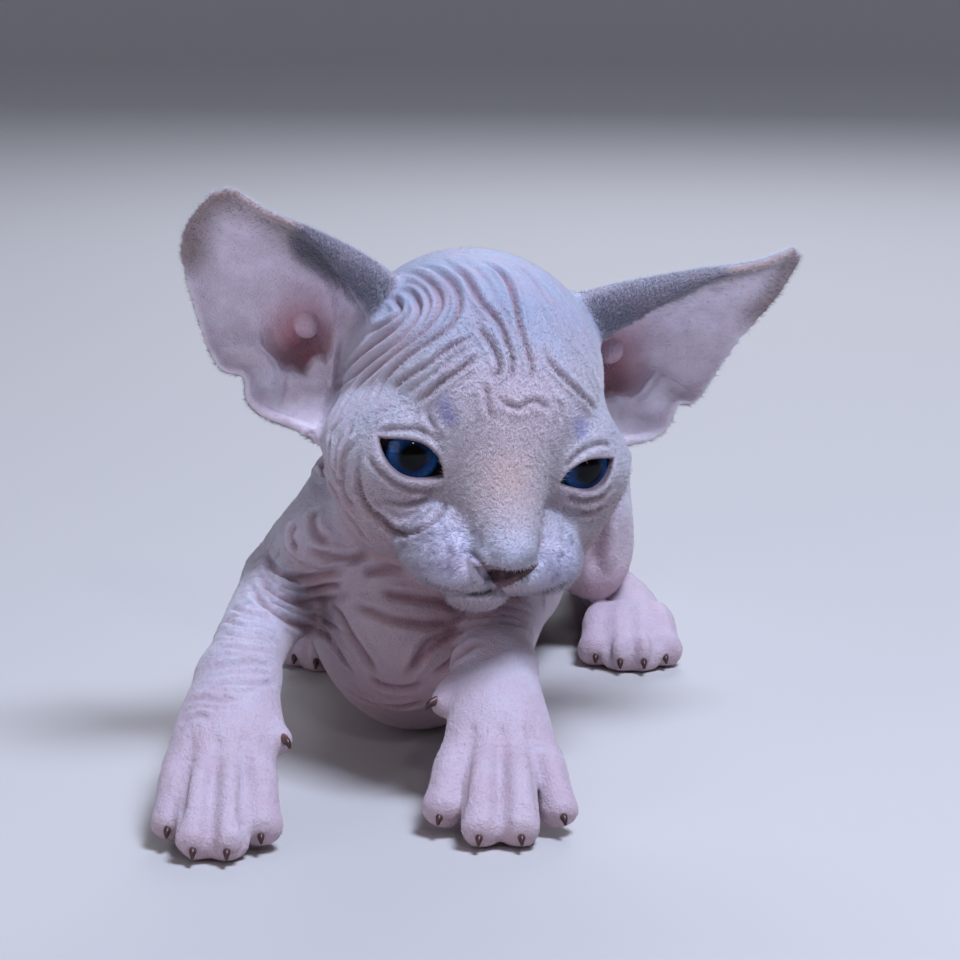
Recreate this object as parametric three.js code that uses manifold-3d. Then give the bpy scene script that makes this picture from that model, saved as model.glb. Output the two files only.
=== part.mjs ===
// A sphynx kitten about six weeks old, life size, crouching on the floor with its forepaws reached out.
// Millimetres, +Z up, the kitten faces -Y. The origin is in the middle of the flat under its chest.
// Left and right are the kitten's own: its left side is towards +X.

import * as THREE from 'three';
import { mergeVertices } from 'three/addons/utils/BufferGeometryUtils.js';
import Module from 'manifold-3d';

const wasm = await Module();
wasm.setup();

// Joints between neighbouring pieces
const SEAM = 0.3;

// The places below are set out from the floor under the throat. The finished kitten is then moved, so that
// the origin is in the middle of the flat that it rests its chest on.
const REST_POINT = [4, 34];

// Head: half sizes of the braincase and the places of the features from its centre
const SKULL_HALF = [20.8, 26, 20];
const SKULL_FROM_CENTRE = [0, -6, -1];
const EYE_RADIUS = 7.4;
const EYE_CENTRE = [13, 9.6, -10.4];
const EYE_OUTWARD_TURN = 11;
const EYE_SLANT = 24;
const EYE_OPENINGS = { left: [4.9, 2, 3], right: [5.9, 2.9, 2.9] };
const LID_THICKNESS = 1.2;
const NOSE_TIP = [0, 28.4, -21.6];
const MOUTH_CORNER = [12.4, 12, -27.4];
const HEAD_DETAIL = 10;

// Head pose: the face is turned, tilted and nodded towards a viewer who stands in front and looks down
const HEAD_CENTRE = [12.5, -5, 65.4];
const VIEWER_RISE = 12;
const HEAD_TILT = 4.1;
const HEAD_TURN = 15.5;
const HEAD_NOD = 14.6;

// Ears: how deep they cup and how far round they curl from base to tip, on the side of the crown and on
// the side of the cheek. The right ear stands a little higher and is opened wider than the left one.
const EAR_THICKNESS = 1.5;
const EAR_DEPTH = [8, 12, 11.5, 7, 3, 1.2];
const EAR_CROWN_ARC = [142, 138, 124, 100, 70, 50];
const EAR_CHEEK_ARC = [116, 110, 98, 80, 62, 50];
const EAR_LIFT = { left: 0, right: 2.4 };
const EAR_WIDTH = { left: 0.94, right: 1.04 };
const EAR_ROOT = [14, -4, -6];

// Trunk and limbs
const CHEST_HALF_WIDTH = 19.5;
const BELLY_HALF_WIDTH = 21;
const RUMP_HEIGHT = 56.5;
const FOREARM_RADIUS = 6.6;
const TOE_RADIUS = 2.8;
const TOE_TIP_RADIUS = 3.6;
const TOE_SIDES = 8;
const FLAT_DEPTH = 0.45;
const TAIL_RADIUS = 6.3;
const TAIL_TIP_RADIUS = 1.7;

const skinMaterial = new THREE.MeshStandardMaterial({ color: '#d5b7bd', roughness: 0.62, metalness: 0 });
const earMaterial = new THREE.MeshStandardMaterial({ color: '#cfa7ac', roughness: 0.6, metalness: 0 });
const eyeMaterial = new THREE.MeshStandardMaterial({ color: '#1d4a8c', roughness: 0.08, metalness: 0 });
const clawMaterial = new THREE.MeshStandardMaterial({ color: '#7d5a50', roughness: 0.35, metalness: 0 });

const vector = (p) => new THREE.Vector3(p[0], p[1], p[2]);

// A closed three.js geometry as a solid that can be joined and cut
function solidOf(geometry) {
  const bare = geometry.clone();
  for (const name of ['normal', 'uv']) bare.deleteAttribute(name);
  const merged = mergeVertices(bare, 1e-4);
  return new wasm.Manifold(new wasm.Mesh({
    numProp: 3,
    vertProperties: merged.attributes.position.array,
    triVerts: new Uint32Array(merged.index.array),
  }));
}

function geometryOf(solid) {
  const mesh = solid.getMesh();
  const positions = new Float32Array(mesh.numVert * 3);
  for (let i = 0; i < mesh.numVert; i++) {
    positions.set(mesh.vertProperties.subarray(i * mesh.numProp, i * mesh.numProp + 3), i * 3);
  }
  const geometry = new THREE.BufferGeometry();
  geometry.setAttribute('position', new THREE.BufferAttribute(positions, 3));
  geometry.setIndex(new THREE.BufferAttribute(new Uint32Array(mesh.triVerts), 1));
  geometry.computeVertexNormals();
  return geometry;
}

const join = (...solids) => wasm.Manifold.union(solids);

// The largest closed body of a solid, so that no loose scrap of a cut stays
function largest(solid) {
  return solid.decompose().reduce((best, body) => (body.volume() > best.volume() ? body : best));
}

// Everything below the floor is cut off, which leaves the small flats that the kitten rests on
const belowFloor = solidOf(new THREE.BoxGeometry(600, 600, 60).translate(0, 0, -30));
const onFloor = (solid) => solid.subtract(belowFloor);

// A closed body from a grid of rings: each ring is a list of points, with a pole at both ends
function closeRings(rings, firstPole, lastPole) {
  const sides = rings[0].length;
  const points = [firstPole, ...rings.flat(), lastPole];
  const faces = [];
  const at = (ring, side) => 1 + ring * sides + ((side + sides) % sides);
  for (let side = 0; side < sides; side++) {
    faces.push(0, at(0, side), at(0, side + 1));
    faces.push(points.length - 1, at(rings.length - 1, side + 1), at(rings.length - 1, side));
    for (let ring = 0; ring + 1 < rings.length; ring++) {
      faces.push(at(ring, side), at(ring + 1, side + 1), at(ring, side + 1));
      faces.push(at(ring, side), at(ring + 1, side), at(ring + 1, side + 1));
    }
  }
  const geometry = new THREE.BufferGeometry().setFromPoints(points);
  geometry.setIndex(faces);
  return geometry.toNonIndexed();
}

// A rounded limb swept through stations [x, y, z, half width, half height], with domed ends
function limb(stations, { sides = 14, steps = 10, across = [1, 0, 0], domes = 2, grow = 0 } = {}) {
  const path = new THREE.CatmullRomCurve3(stations.map(vector), false, 'catmullrom', 0.5);
  const sizes = new THREE.CatmullRomCurve3(
    stations.map((s) => new THREE.Vector3(s[3], s[4] ?? s[3], 0)), false, 'catmullrom', 0.5);
  const ring = (t, scale, ahead) => {
    const tangent = path.getTangent(t);
    const upward = vector(across).cross(tangent).normalize();
    const sideways = tangent.clone().cross(upward).normalize();
    const size = sizes.getPoint(t);
    const centre = path.getPoint(t).addScaledVector(tangent, ahead);
    const points = [];
    for (let i = 0; i < sides; i++) {
      const angle = (2 * Math.PI * i) / sides;
      points.push(centre.clone()
        .addScaledVector(sideways, (size.x + grow) * scale * Math.cos(angle))
        .addScaledVector(upward, (size.y + grow) * scale * Math.sin(angle)));
    }
    return points;
  };
  const domeAngles = domes === 2 ? [0.38, 0.9] : [0.7];
  const domeLength = (station) => Math.min(station[3], station[4] ?? station[3]) * 0.8 + grow;
  const startDome = domeLength(stations[0]);
  const endDome = domeLength(stations[stations.length - 1]);
  const rings = [];
  for (const a of domeAngles) rings.push(ring(0, Math.sin(a), -startDome * Math.cos(a)));
  for (let i = 0; i <= steps; i++) rings.push(ring(i / steps, 1, 0));
  for (const a of [...domeAngles].reverse()) rings.push(ring(1, Math.sin(a), endDome * Math.cos(a)));
  const firstPole = path.getPoint(0).addScaledVector(path.getTangent(0), -startDome);
  const lastPole = path.getPoint(1).addScaledVector(path.getTangent(1), endDome);
  return solidOf(closeRings(rings, firstPole, lastPole));
}

function ellipsoid(centre, halves, { grow = 0, across = 14, up = 10 } = {}) {
  const geometry = new THREE.SphereGeometry(1, across, up);
  geometry.scale(halves[0] + grow, halves[1] + grow, halves[2] + grow);
  return solidOf(geometry.translate(centre[0], centre[1], centre[2]));
}

// Head shape: a smooth blend of rounded masses, negative inside, in millimetres from the head's centre
const smoothMin = (a, b, k) => {
  const h = Math.max(k - Math.abs(a - b), 0) / k;
  return Math.min(a, b) - h * h * k * 0.25;
};

function mass(p, centre, halves) {
  const q = [0, 1, 2].map((i) => (p[i] - centre[i]) / halves[i]);
  const r = [0, 1, 2].map((i) => (p[i] - centre[i]) / (halves[i] * halves[i]));
  const near = Math.hypot(...q);
  return (near * (near - 1)) / Math.max(Math.hypot(...r), 1e-9);
}

function bar(p, a, b, radiusA, radiusB) {
  const ab = b.map((v, i) => v - a[i]);
  const ap = p.map((v, i) => v - a[i]);
  const along = ab.reduce((sum, v, i) => sum + v * ap[i], 0) / ab.reduce((sum, v) => sum + v * v, 0);
  const t = Math.min(1, Math.max(0, along));
  return Math.hypot(...ap.map((v, i) => v - ab[i] * t)) - (radiusA + (radiusB - radiusA) * t);
}

function headField(point) {
  const p = [Math.abs(point.x), point.y, point.z];
  const [eyeX, eyeY, eyeZ] = EYE_CENTRE;
  let d = mass(p, SKULL_FROM_CENTRE, SKULL_HALF);
  d = smoothMin(d, mass(p, [0, 9, -4], [14, 10.5, 11]), 6);
  d = smoothMin(d, mass(p, [16.5, 2.5, -12.5], [8.6, 13.5, 9]), 5);
  d = smoothMin(d, mass(p, [12.5, 3, -20.5], [9, 13.5, 9]), 5);
  d = smoothMin(d, bar(p, [0, 8, -9], [0, 24, -20], 10, 6), 6);
  d = smoothMin(d, bar(p, [0, 12, -27], [10, -6, -24], 6.5, 9), 4);
  d = smoothMin(d, mass(p, [eyeX, eyeY, eyeZ], [1, 1, 1].map(() => EYE_RADIUS + LID_THICKNESS)), 3);
  d = smoothMin(d, mass(p, [7.2, 18.6, -24.2], [7.4, 9, 6.4]), 3.2);
  d = smoothMin(d, mass(p, [0, 17.6, -29.6], [6.6, 7.4, 4.8]), 2);
  return smoothMin(d, mass(p, NOSE_TIP, [4.9, 3.6, 4]), 2.2);
}

// The blend as a closed skin: every point of a fine icosahedron is pushed out to the outermost surface
function headForm(grow = 0) {
  const heart = new THREE.Vector3(0, 2, -9);
  const geometry = new THREE.IcosahedronGeometry(1, HEAD_DETAIL);
  const position = geometry.attributes.position;
  const direction = new THREE.Vector3();
  for (let i = 0; i < position.count; i++) {
    direction.fromBufferAttribute(position, i).normalize();
    const reach = (r) => headField(heart.clone().addScaledVector(direction, r)) - grow;
    let outer = 55;
    while (reach(outer - 0.5) > 0) outer -= 0.5;
    let inner = outer - 0.5;
    for (let step = 0; step < 14; step++) {
      const middle = (inner + outer) / 2;
      if (reach(middle) > 0) outer = middle;
      else inner = middle;
    }
    direction.multiplyScalar(outer).add(heart);
    position.setXYZ(i, direction.x, direction.y, direction.z);
  }
  return solidOf(geometry);
}

// Eye opening: an almond seen along the gaze, its outer corner higher than the inner one
function eyeOpening(side, opening) {
  const [halfWidth, above, below] = opening;
  const almond = new THREE.Shape();
  almond.moveTo(-halfWidth, 0);
  almond.quadraticCurveTo(0, above * 2, halfWidth, 0);
  almond.quadraticCurveTo(0, -below * 2, -halfWidth, 0);
  const prism = new THREE.ExtrudeGeometry(almond, { depth: 14, bevelEnabled: false, curveSegments: 7 });
  prism.rotateZ(THREE.MathUtils.degToRad(-side * EYE_SLANT));
  prism.rotateX(-Math.PI / 2);
  prism.rotateZ(THREE.MathUtils.degToRad(-side * EYE_OUTWARD_TURN));
  prism.translate(side * EYE_CENTRE[0], EYE_CENTRE[1], EYE_CENTRE[2]);
  return solidOf(prism);
}

const eyeball = (side, grow = 0) => ellipsoid(
  [side * EYE_CENTRE[0], EYE_CENTRE[1], EYE_CENTRE[2]],
  [EYE_RADIUS, EYE_RADIUS, EYE_RADIUS], { grow, across: 16, up: 10 });

// The line of the lips runs from under the nose round each whisker pad to the corner of the mouth
function lipLine(side) {
  return limb([
    [0, 28.6, -27, 0.45], [side * 3.6, 28.4, -29, 0.5], [side * 8, 23.4, -30, 0.55],
    [side * MOUTH_CORNER[0], MOUTH_CORNER[1] + 4, MOUTH_CORNER[2] - 0.6, 0.5],
  ], { sides: 6, steps: 9, across: [0, 0, 1] });
}

const nostril = (side) => limb([
  [side * 1.6, 32.6, -24.8, 0.9, 0.7], [side * 3, 31, -24, 0.8, 0.6], [side * 4.9, 28.2, -23.5, 0.5, 0.4],
], { sides: 6, steps: 5, across: [0, 0, 1] });

function makeHead() {
  let head = headForm();
  for (const [side, opening] of [[-1, EYE_OPENINGS.left], [1, EYE_OPENINGS.right]]) {
    head = head.subtract(eyeball(side, SEAM)).subtract(eyeOpening(side, opening));
    head = head.subtract(lipLine(side)).subtract(nostril(side));
  }
  const groove = limb([[0, 31.8, -24.6, 0.4], [0, 29.2, -27.6, 0.45]], { sides: 6, steps: 2 });
  return largest(head.subtract(groove));
}

// Ear: a curved shell between its inner and outer edge, cupped backwards, from the base (0) to the tip (1)
const EAR_INNER_EDGE = [
  [12, -9, 2], [18, -2, 10.4], [26, 4.2, 16.2], [35, 7, 20.8], [42, 7.6, 23.6], [47.7, 6.4, 26],
];
const EAR_OUTER_EDGE = [
  [17, -2, -16], [29.5, -4, -11], [39.5, -9, -6], [46.4, -11.8, 5], [50.6, -7, 15.5], [49.5, 3.6, 24.6],
];
const EAR_BACK = [-0.62, -0.78, 0.1];

function earForm(side, name) {
  const inner = new THREE.CatmullRomCurve3(EAR_INNER_EDGE.map(vector));
  const outer = new THREE.CatmullRomCurve3(EAR_OUTER_EDGE.map(vector));
  const shape = new THREE.CatmullRomCurve3(
    EAR_DEPTH.map((d, i) => new THREE.Vector3(d, EAR_CROWN_ARC[i], EAR_CHEEK_ARC[i])));
  const back = vector(EAR_BACK).normalize();
  const root = vector(EAR_ROOT);
  const upward = new THREE.Vector3(0, 1, 0);
  const lift = THREE.MathUtils.degToRad(-EAR_LIFT[name]);
  const middle = (along, across) => {
    const from = inner.getPoint(along);
    const to = outer.getPoint(along).sub(from).multiplyScalar(EAR_WIDTH[name]).add(from);
    const { x: depth, y: crownArc, z: cheekArc } = shape.getPoint(along);
    const half = THREE.MathUtils.degToRad(across < 0 ? crownArc : cheekArc);
    const angle = across * half;
    const sideways = Math.sin(angle) / Math.sin(Math.min(half, Math.PI / 2));
    const behind = (Math.cos(angle) - Math.cos(half)) / (1 - Math.cos(half));
    return from.clone().add(to).multiplyScalar(0.5)
      .addScaledVector(to.clone().sub(from), 0.5 * sideways)
      .addScaledVector(back, depth * behind)
      .sub(root).applyAxisAngle(upward, lift).add(root);
  };
  const ROWS = 11;
  const COLUMNS = 13;
  const surface = (row, column, offset) => {
    const along = row / ROWS;
    const across = (2 * column) / COLUMNS - 1;
    const step = 0.01;
    const point = middle(along, across);
    const up = middle(Math.min(along + step, 1), across).sub(middle(Math.max(along - step, 0), across));
    const over = middle(along, Math.min(across + step, 1)).sub(middle(along, Math.max(across - step, -1)));
    const normal = over.cross(up).normalize();
    point.addScaledVector(normal, offset);
    return new THREE.Vector3(point.x * side, point.y, point.z);
  };
  const corners = [];
  const quad = (a, b, c, d) => (side > 0 ? corners.push(a, b, c, a, c, d) : corners.push(a, c, b, a, d, c));
  const half = EAR_THICKNESS / 2;
  for (let row = 0; row < ROWS; row++) {
    for (let column = 0; column < COLUMNS; column++) {
      const cell = (offset) => [
        surface(row, column, offset), surface(row, column + 1, offset),
        surface(row + 1, column + 1, offset), surface(row + 1, column, offset),
      ];
      const [a, b, c, d] = cell(half);
      const [e, f, g, h] = cell(-half);
      quad(a, b, c, d);
      corners.push(...(side > 0 ? [e, g, f, e, h, g] : [e, f, g, e, g, h]));
      if (column === 0) quad(a, d, h, e);
      if (column === COLUMNS - 1) quad(b, f, g, c);
      if (row === 0) quad(a, e, f, b);
      if (row === ROWS - 1) quad(d, c, g, h);
    }
  }
  return solidOf(new THREE.BufferGeometry().setFromPoints(corners));
}

// The head's own frame turned to its pose
const headPose = new THREE.Matrix4()
  .makeTranslation(...HEAD_CENTRE)
  .multiply(new THREE.Matrix4().makeRotationX(THREE.MathUtils.degToRad(-VIEWER_RISE)))
  .multiply(new THREE.Matrix4().makeRotationY(THREE.MathUtils.degToRad(HEAD_TILT)))
  .multiply(new THREE.Matrix4().makeRotationZ(THREE.MathUtils.degToRad(HEAD_TURN)))
  .multiply(new THREE.Matrix4().makeRotationX(THREE.MathUtils.degToRad(HEAD_NOD)))
  .multiply(new THREE.Matrix4().makeRotationZ(Math.PI));
const posed = (solid) => solid.transform(headPose.elements);

// Trunk: chest to rump, lying on the belly, the line of the back bent a little to its left
const TRUNK = [
  [0, -1, 25, 13, 17], [0.5, 9, 26, 18, 24.4], [2, 24, 26.5, CHEST_HALF_WIDTH, 27.5],
  [5.5, 45, 26.2, BELLY_HALF_WIDTH - 1, 27.2], [9, 66, 26.4, BELLY_HALF_WIDTH, 27.4],
  [11, 88, 28, 18.5, RUMP_HEIGHT - 28], [12, 105, 27, 15, 25], [12, 118, 24, 10, 16],
];
const trunkForm = (grow = 0) => limb(TRUNK, { sides: 20, steps: 14, grow });

const neckForm = (grow = 0) => limb([
  [1.5, 22, 34, 15, 15], [3, 14, 40, 15, 15], [7, 8, 47, 14.5, 14.5], [11, 4, 55, 14, 14],
], { sides: 16, steps: 6, grow });

// Forelimb: the upper arm slants back to the elbow and the forearm reaches forward to the wrist
const FORELIMBS = {
  right: {
    upper: [[-8, 17, 45, 6, 8.5], [-11, 3, 39, 8.5, 9], [-15, 8, 33, 8.5, 9], [-20, 14, 27, 7.4, 7.6]],
    lower: [[-21, 14, 25, 7.4, 7.2], [-22.6, 1, 25, FOREARM_RADIUS, 6.8], [-25, -15, 22.6, 6, 5.8],
      [-26, -25, 20.6, 6.2, 5.6]],
    wrist: [-26.4, -27, 20], knuckles: [-28.4, -41, 10.6], fan: 1,
    halfWidth: 8.6, toes: [[-35.2, -49.4, 1.2], [-31, -55.8, 0], [-26, -56.4, 0], [-21.4, -51, 0.8]],
    thumb: [-19.4, -37, 14],
  },
  left: {
    upper: [[11, 19, 45, 6, 8.5], [12, 6, 39, 8.5, 9], [15, 11, 33, 8.5, 9], [18, 17, 27, 7.4, 7.6]],
    lower: [[18.4, 17, 25, 7.4, 7.2], [17, 5, 25, FOREARM_RADIUS, 6.8], [15, -10, 22.6, 6, 5.8],
      [14.4, -19, 20.6, 6.2, 5.6]],
    wrist: [14.4, -21, 20], knuckles: [15.2, -35, 10.6], fan: -1,
    halfWidth: 9.4, toes: [[24.2, -43, 1.2], [18.2, -49.4, 0], [12, -49.6, 0], [6.4, -43, 1.2]],
    thumb: [6.4, -26.5, 17],
  },
};

const forelegForm = (arm, grow = 0) => join(
  limb(arm.upper, { sides: 14, steps: 6, grow }), limb(arm.lower, { sides: 14, steps: 9, grow }));

// A toe arches from its knuckle down to a round tip on the floor
function toe(knuckle, tip, size = 1) {
  const rest = TOE_TIP_RADIUS * size - FLAT_DEPTH + (tip[2] ?? 0);
  const along = (share, height, radius) => [
    THREE.MathUtils.lerp(knuckle[0], tip[0], share), THREE.MathUtils.lerp(knuckle[1], tip[1], share),
    height, radius * size];
  return limb([
    along(0, knuckle[2], TOE_RADIUS * 0.95), along(0.4, knuckle[2] * 0.9, TOE_RADIUS * 1.1),
    along(0.74, knuckle[2] * 0.63, TOE_RADIUS * 1.1), along(0.97, rest, TOE_TIP_RADIUS),
  ], { sides: TOE_SIDES, steps: 4 });
}

// Claw: a short hooked cone that points forward and down from the tip of its toe
function claw(knuckle, tip, height, grow = 0) {
  const forward = new THREE.Vector3(tip[0] - knuckle[0], tip[1] - knuckle[1], 0).normalize();
  const at = (reach, drop, width, depth) => [
    tip[0] + forward.x * reach, tip[1] + forward.y * reach, height - drop, width, depth];
  return limb([at(1.2, -0.3, 0.65, 0.85), at(3, 0.2, 0.5, 0.65), at(4, 1.2, 0.2, 0.28)],
    { sides: 5, steps: 2, domes: 1, grow });
}

const CLAW_HEIGHT = 2.5;

function forepawForm(arm) {
  const [wristX, wristY, wristZ] = arm.wrist;
  const [knuckleX, knuckleY, knuckleZ] = arm.knuckles;
  const [thumbX, thumbY, thumbZ] = arm.thumb;
  const palm = limb([
    [wristX, wristY + 2, wristZ + 0.5, 6.2, 5.2],
    [(wristX + knuckleX) / 2, (wristY + knuckleY) / 2, (wristZ + knuckleZ) / 2 + 0.4, 7.8, 5.4],
    [knuckleX, knuckleY, knuckleZ - 0.6, arm.halfWidth, 5]], { sides: 12, steps: 5 });
  const pad = ellipsoid([knuckleX, knuckleY - 1, 4.6], [7, 6.6, 4.6 + FLAT_DEPTH], { across: 10, up: 6 });
  const pieces = [palm, pad];
  arm.toes.forEach((tip, i) => pieces.push(toe(toeKnuckle(arm, i), tip, i === 0 ? 0.88 : 1)));
  pieces.push(limb([
    [wristX + arm.fan * 3.4, wristY - 1, wristZ - 1.5, 3],
    [thumbX - arm.fan * 1.6, thumbY + 2.4, thumbZ + 1, 2.6],
    [thumbX, thumbY, thumbZ - 0.6, 2.4]], { sides: 8, steps: 4 }));
  return join(...pieces);
}

function toeKnuckle(arm, i) {
  const spread = [-0.68, -0.24, 0.24, 0.68][i] * arm.halfWidth * arm.fan;
  return [arm.knuckles[0] + spread, arm.knuckles[1] + Math.abs(spread) * 0.22, arm.knuckles[2]];
}

// Hind limb: folded under the flank, the knee forward and the whole foot flat on the floor
const RUMP_X = 12;
function thighForm(side, grow = 0) {
  const x = (out) => RUMP_X + side * out;
  return limb([[x(8), 109, 35, 9, 13], [x(13), 99, 32, 11.5, 19], [x(17.5), 85, 28.5, 10.5, 19],
    [x(21), 70, 22.5, 7.5, 12.5]], { sides: 14, steps: 8, grow });
}
const hindToes = (side) => [-6.2, -2.1, 2.1, 6].map((out, i) => [
  RUMP_X + side * (27.5 + out), [57.4, 53.6, 53.4, 57][i]]);
const hindKnuckle = (side, i) => [RUMP_X + side * (27.5 + [-5.2, -1.8, 1.8, 5][i]), 68, 7];
function hindfootForm(side) {
  const x = (out) => RUMP_X + side * out;
  const shank = limb([[x(21), 70, 18, 6.6, 8.5], [x(22), 90, 15, 6.6, 8.5], [x(21.6), 108, 10.6, 5.4, 6.6],
    [x(21.6), 115, 7.6, 4.4, 5.6]], { sides: 10, steps: 6 });
  const sole = limb([[x(21.6), 116, 5.6, 4.6, 5.6 + FLAT_DEPTH], [x(24), 98, 5, 4.9, 5 + FLAT_DEPTH],
    [x(27), 80, 5.2, 6.2, 5.2 + FLAT_DEPTH], [x(27.5), 70, 4.6, 8, 4.6 + FLAT_DEPTH]],
  { sides: 10, steps: 6 });
  const toes = hindToes(side).map((tip, i) => toe(hindKnuckle(side, i), tip));
  return join(shank, sole, ...toes);
}

// Tail: a tapering whip laid on the floor behind, cut into three lengths
const TAIL = [
  [12, 118, 25], [12.4, 130, 16], [14, 142, 7.6], [18, 156, 4.2], [19, 172, 3.5], [11, 188, 3.1],
  [-1, 200, 2.7], [-9, 214, 2.3], [-7, 229, 1.9], [2, 239, 1.55],
];
function tailLengths() {
  const taper = (i) => THREE.MathUtils.lerp(TAIL_RADIUS, TAIL_TIP_RADIUS, (i / (TAIL.length - 1)) ** 0.7);
  const whole = onFloor(limb(TAIL.map((p, i) => [...p, taper(i)]), { sides: 8, steps: 34 }))
    .subtract(trunkForm(SEAM));
  const path = new THREE.CatmullRomCurve3(TAIL.map(vector), false, 'catmullrom', 0.5);
  const cuts = [0.36, 0.68].map((t) => {
    const slab = new THREE.BoxGeometry(24, 24, SEAM);
    slab.applyQuaternion(new THREE.Quaternion().setFromUnitVectors(new THREE.Vector3(0, 0, 1), path.getTangent(t)));
    return solidOf(slab.translate(...path.getPoint(t).toArray()));
  });
  const lengths = whole.subtract(join(...cuts)).decompose().filter((body) => body.volume() > 5);
  return lengths.sort((a, b) => a.boundingBox().max[1] - b.boundingBox().max[1]);
}

const kitten = new THREE.Group();
function add(name, solid, material) {
  const mesh = new THREE.Mesh(geometryOf(largest(solid)), material);
  mesh.name = name;
  kitten.add(mesh);
}

const grownHead = posed(headForm(SEAM));
const trunk = onFloor(trunkForm()).subtract(grownHead);
const grownTrunk = trunkForm(SEAM);
add('head', posed(makeHead()), skinMaterial);
add('trunk', trunk, skinMaterial);
add('neck', neckForm().subtract(join(grownTrunk, grownHead)), skinMaterial);

for (const [name, side] of [['left', 1], ['right', -1]]) {
  // The head's own frame faces +Y, so after its half turn the kitten's left is on the other side
  const headSide = -side;
  add(`ear_${name}`, posed(earForm(headSide, name)).subtract(grownHead), earMaterial);
  add(`eye_${name}`, posed(eyeball(headSide)), eyeMaterial);

  const arm = FORELIMBS[name];
  const claws = arm.toes.map((tip, i) => [toeKnuckle(arm, i), tip, CLAW_HEIGHT + tip[2]]);
  claws.push([[arm.wrist[0], arm.wrist[1], 0], arm.thumb, arm.thumb[2]]);
  const grownClaws = join(...claws.map((place) => claw(...place, SEAM)));
  const foreleg = forelegForm(arm).subtract(join(grownTrunk, neckForm(SEAM), grownHead));
  add(`foreleg_${name}`, foreleg, skinMaterial);
  const forepaw = onFloor(forepawForm(arm)).subtract(join(forelegForm(arm, SEAM), grownClaws));
  add(`forepaw_${name}`, forepaw, skinMaterial);
  claws.forEach((place, i) => add(`claw_fore_${name}_${i + 1}`, onFloor(claw(...place)), clawMaterial));

  const hindClaws = hindToes(side).map((tip, i) => [hindKnuckle(side, i), tip, CLAW_HEIGHT]);
  const grownHindClaws = join(...hindClaws.map((place) => claw(...place, SEAM)));
  const thigh = onFloor(thighForm(side)).subtract(grownTrunk);
  add(`thigh_${name}`, thigh, skinMaterial);
  const hindfoot = onFloor(hindfootForm(side)).subtract(join(grownTrunk, thighForm(side, SEAM), grownHindClaws));
  add(`hindfoot_${name}`, hindfoot, skinMaterial);
  hindClaws.forEach((place, i) => add(`claw_hind_${name}_${i + 1}`, onFloor(claw(...place)), clawMaterial));
}

tailLengths().forEach((length, i) => add(['tail_root', 'tail_middle', 'tail_tip'][i], length, skinMaterial));

kitten.position.set(-REST_POINT[0], -REST_POINT[1], 0);

export default kitten;
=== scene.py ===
# A sphynx kitten about six weeks old, life size, crouching with its forepaws reached out and its head turned.
# Lengths are in millimetres until a mesh is made. Places are set out from the floor under the throat, as the
# solids are, and every piece is then moved so that the middle of the chest flat is the origin.
import math

import bpy
import numpy as np
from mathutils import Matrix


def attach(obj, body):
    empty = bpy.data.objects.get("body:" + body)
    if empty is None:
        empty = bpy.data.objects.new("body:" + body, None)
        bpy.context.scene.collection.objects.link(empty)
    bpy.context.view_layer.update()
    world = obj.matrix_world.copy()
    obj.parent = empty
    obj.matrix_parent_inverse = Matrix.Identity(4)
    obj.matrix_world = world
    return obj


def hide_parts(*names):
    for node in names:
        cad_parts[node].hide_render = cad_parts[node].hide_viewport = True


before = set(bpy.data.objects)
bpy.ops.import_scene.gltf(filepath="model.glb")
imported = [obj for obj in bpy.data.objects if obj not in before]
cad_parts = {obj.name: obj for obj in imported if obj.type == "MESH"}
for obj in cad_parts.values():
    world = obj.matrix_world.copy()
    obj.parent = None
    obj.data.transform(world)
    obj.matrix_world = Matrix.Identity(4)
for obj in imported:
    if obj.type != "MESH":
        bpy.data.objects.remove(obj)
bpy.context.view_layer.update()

import openvdb
from mathutils import Matrix, Vector
from mathutils.bvhtree import BVHTree

REST_POINT = np.array([4.0, 34.0, 0.0])
MM = 0.001

# Fineness of the skin: the step of the volume it is drawn from, halved on the front that shows folds
SKIN_STEP = 0.62
FRONT_REACH = 24.0
BAND = 8.0
SMOOTH_IN = 0.5
SMOOTH_OUT = 0.53
SLOPE_STEP = 0.12
LEAST_STEEPNESS = 0.25
LONGEST_MOVE = 0.35
DOME_SHARE = 0.8
BODY_LOW = np.array([-46.0, -66.0, -3.0])
BODY_HIGH = np.array([68.0, 248.0, 110.0])

# Head, in its own frame: X to its right or left, Y forward, Z up, from the centre of the skull
SKULL = ((0, -6, -1), (20.8, 26, 20))

# Masses that join the skull on both sides: centre, half sizes, and how softly each joins
FOREHEAD = ((0, 9, -4), (14, 10.5, 11), 6)
CHEEKBONE = ((16.5, 2.5, -12.5), (8.6, 13.5, 9), 5)
CHEEK = ((12.5, 3, -20.5), (9, 13.5, 9), 5)
WHISKER_PAD = ((7.4, 18.8, -24), (7.2, 8.8, 6.2), 2.2)
LIP = ((4.2, 24.4, -26), (4.4, 4.4, 3), 2)
CHIN = ((0, 18.6, -29.9), (5.4, 6.6, 3.5), 1)
NOSE_TIP = ((0, 28.6, -20.8), (4.3, 3.8, 3.4), 1.6)
NOSE_WING = ((3.1, 28.4, -23), (1.9, 2.6, 1.6), 1.2)

# Bars from one end to the other, and their radii there
NOSE_BRIDGE = ((0, 8, -9), (0, 24, -19), 10, 5.6)
JAW = ((0, 12, -27), (10, -6, -24), 6.5, 9)
NOSTRIL = ((1.6, 32.4, -24.6), (2.9, 31, -24), (4.1, 29.4, -23.5))
NOSTRIL_RADII = (0.9, 0.8, 0.35)

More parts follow.
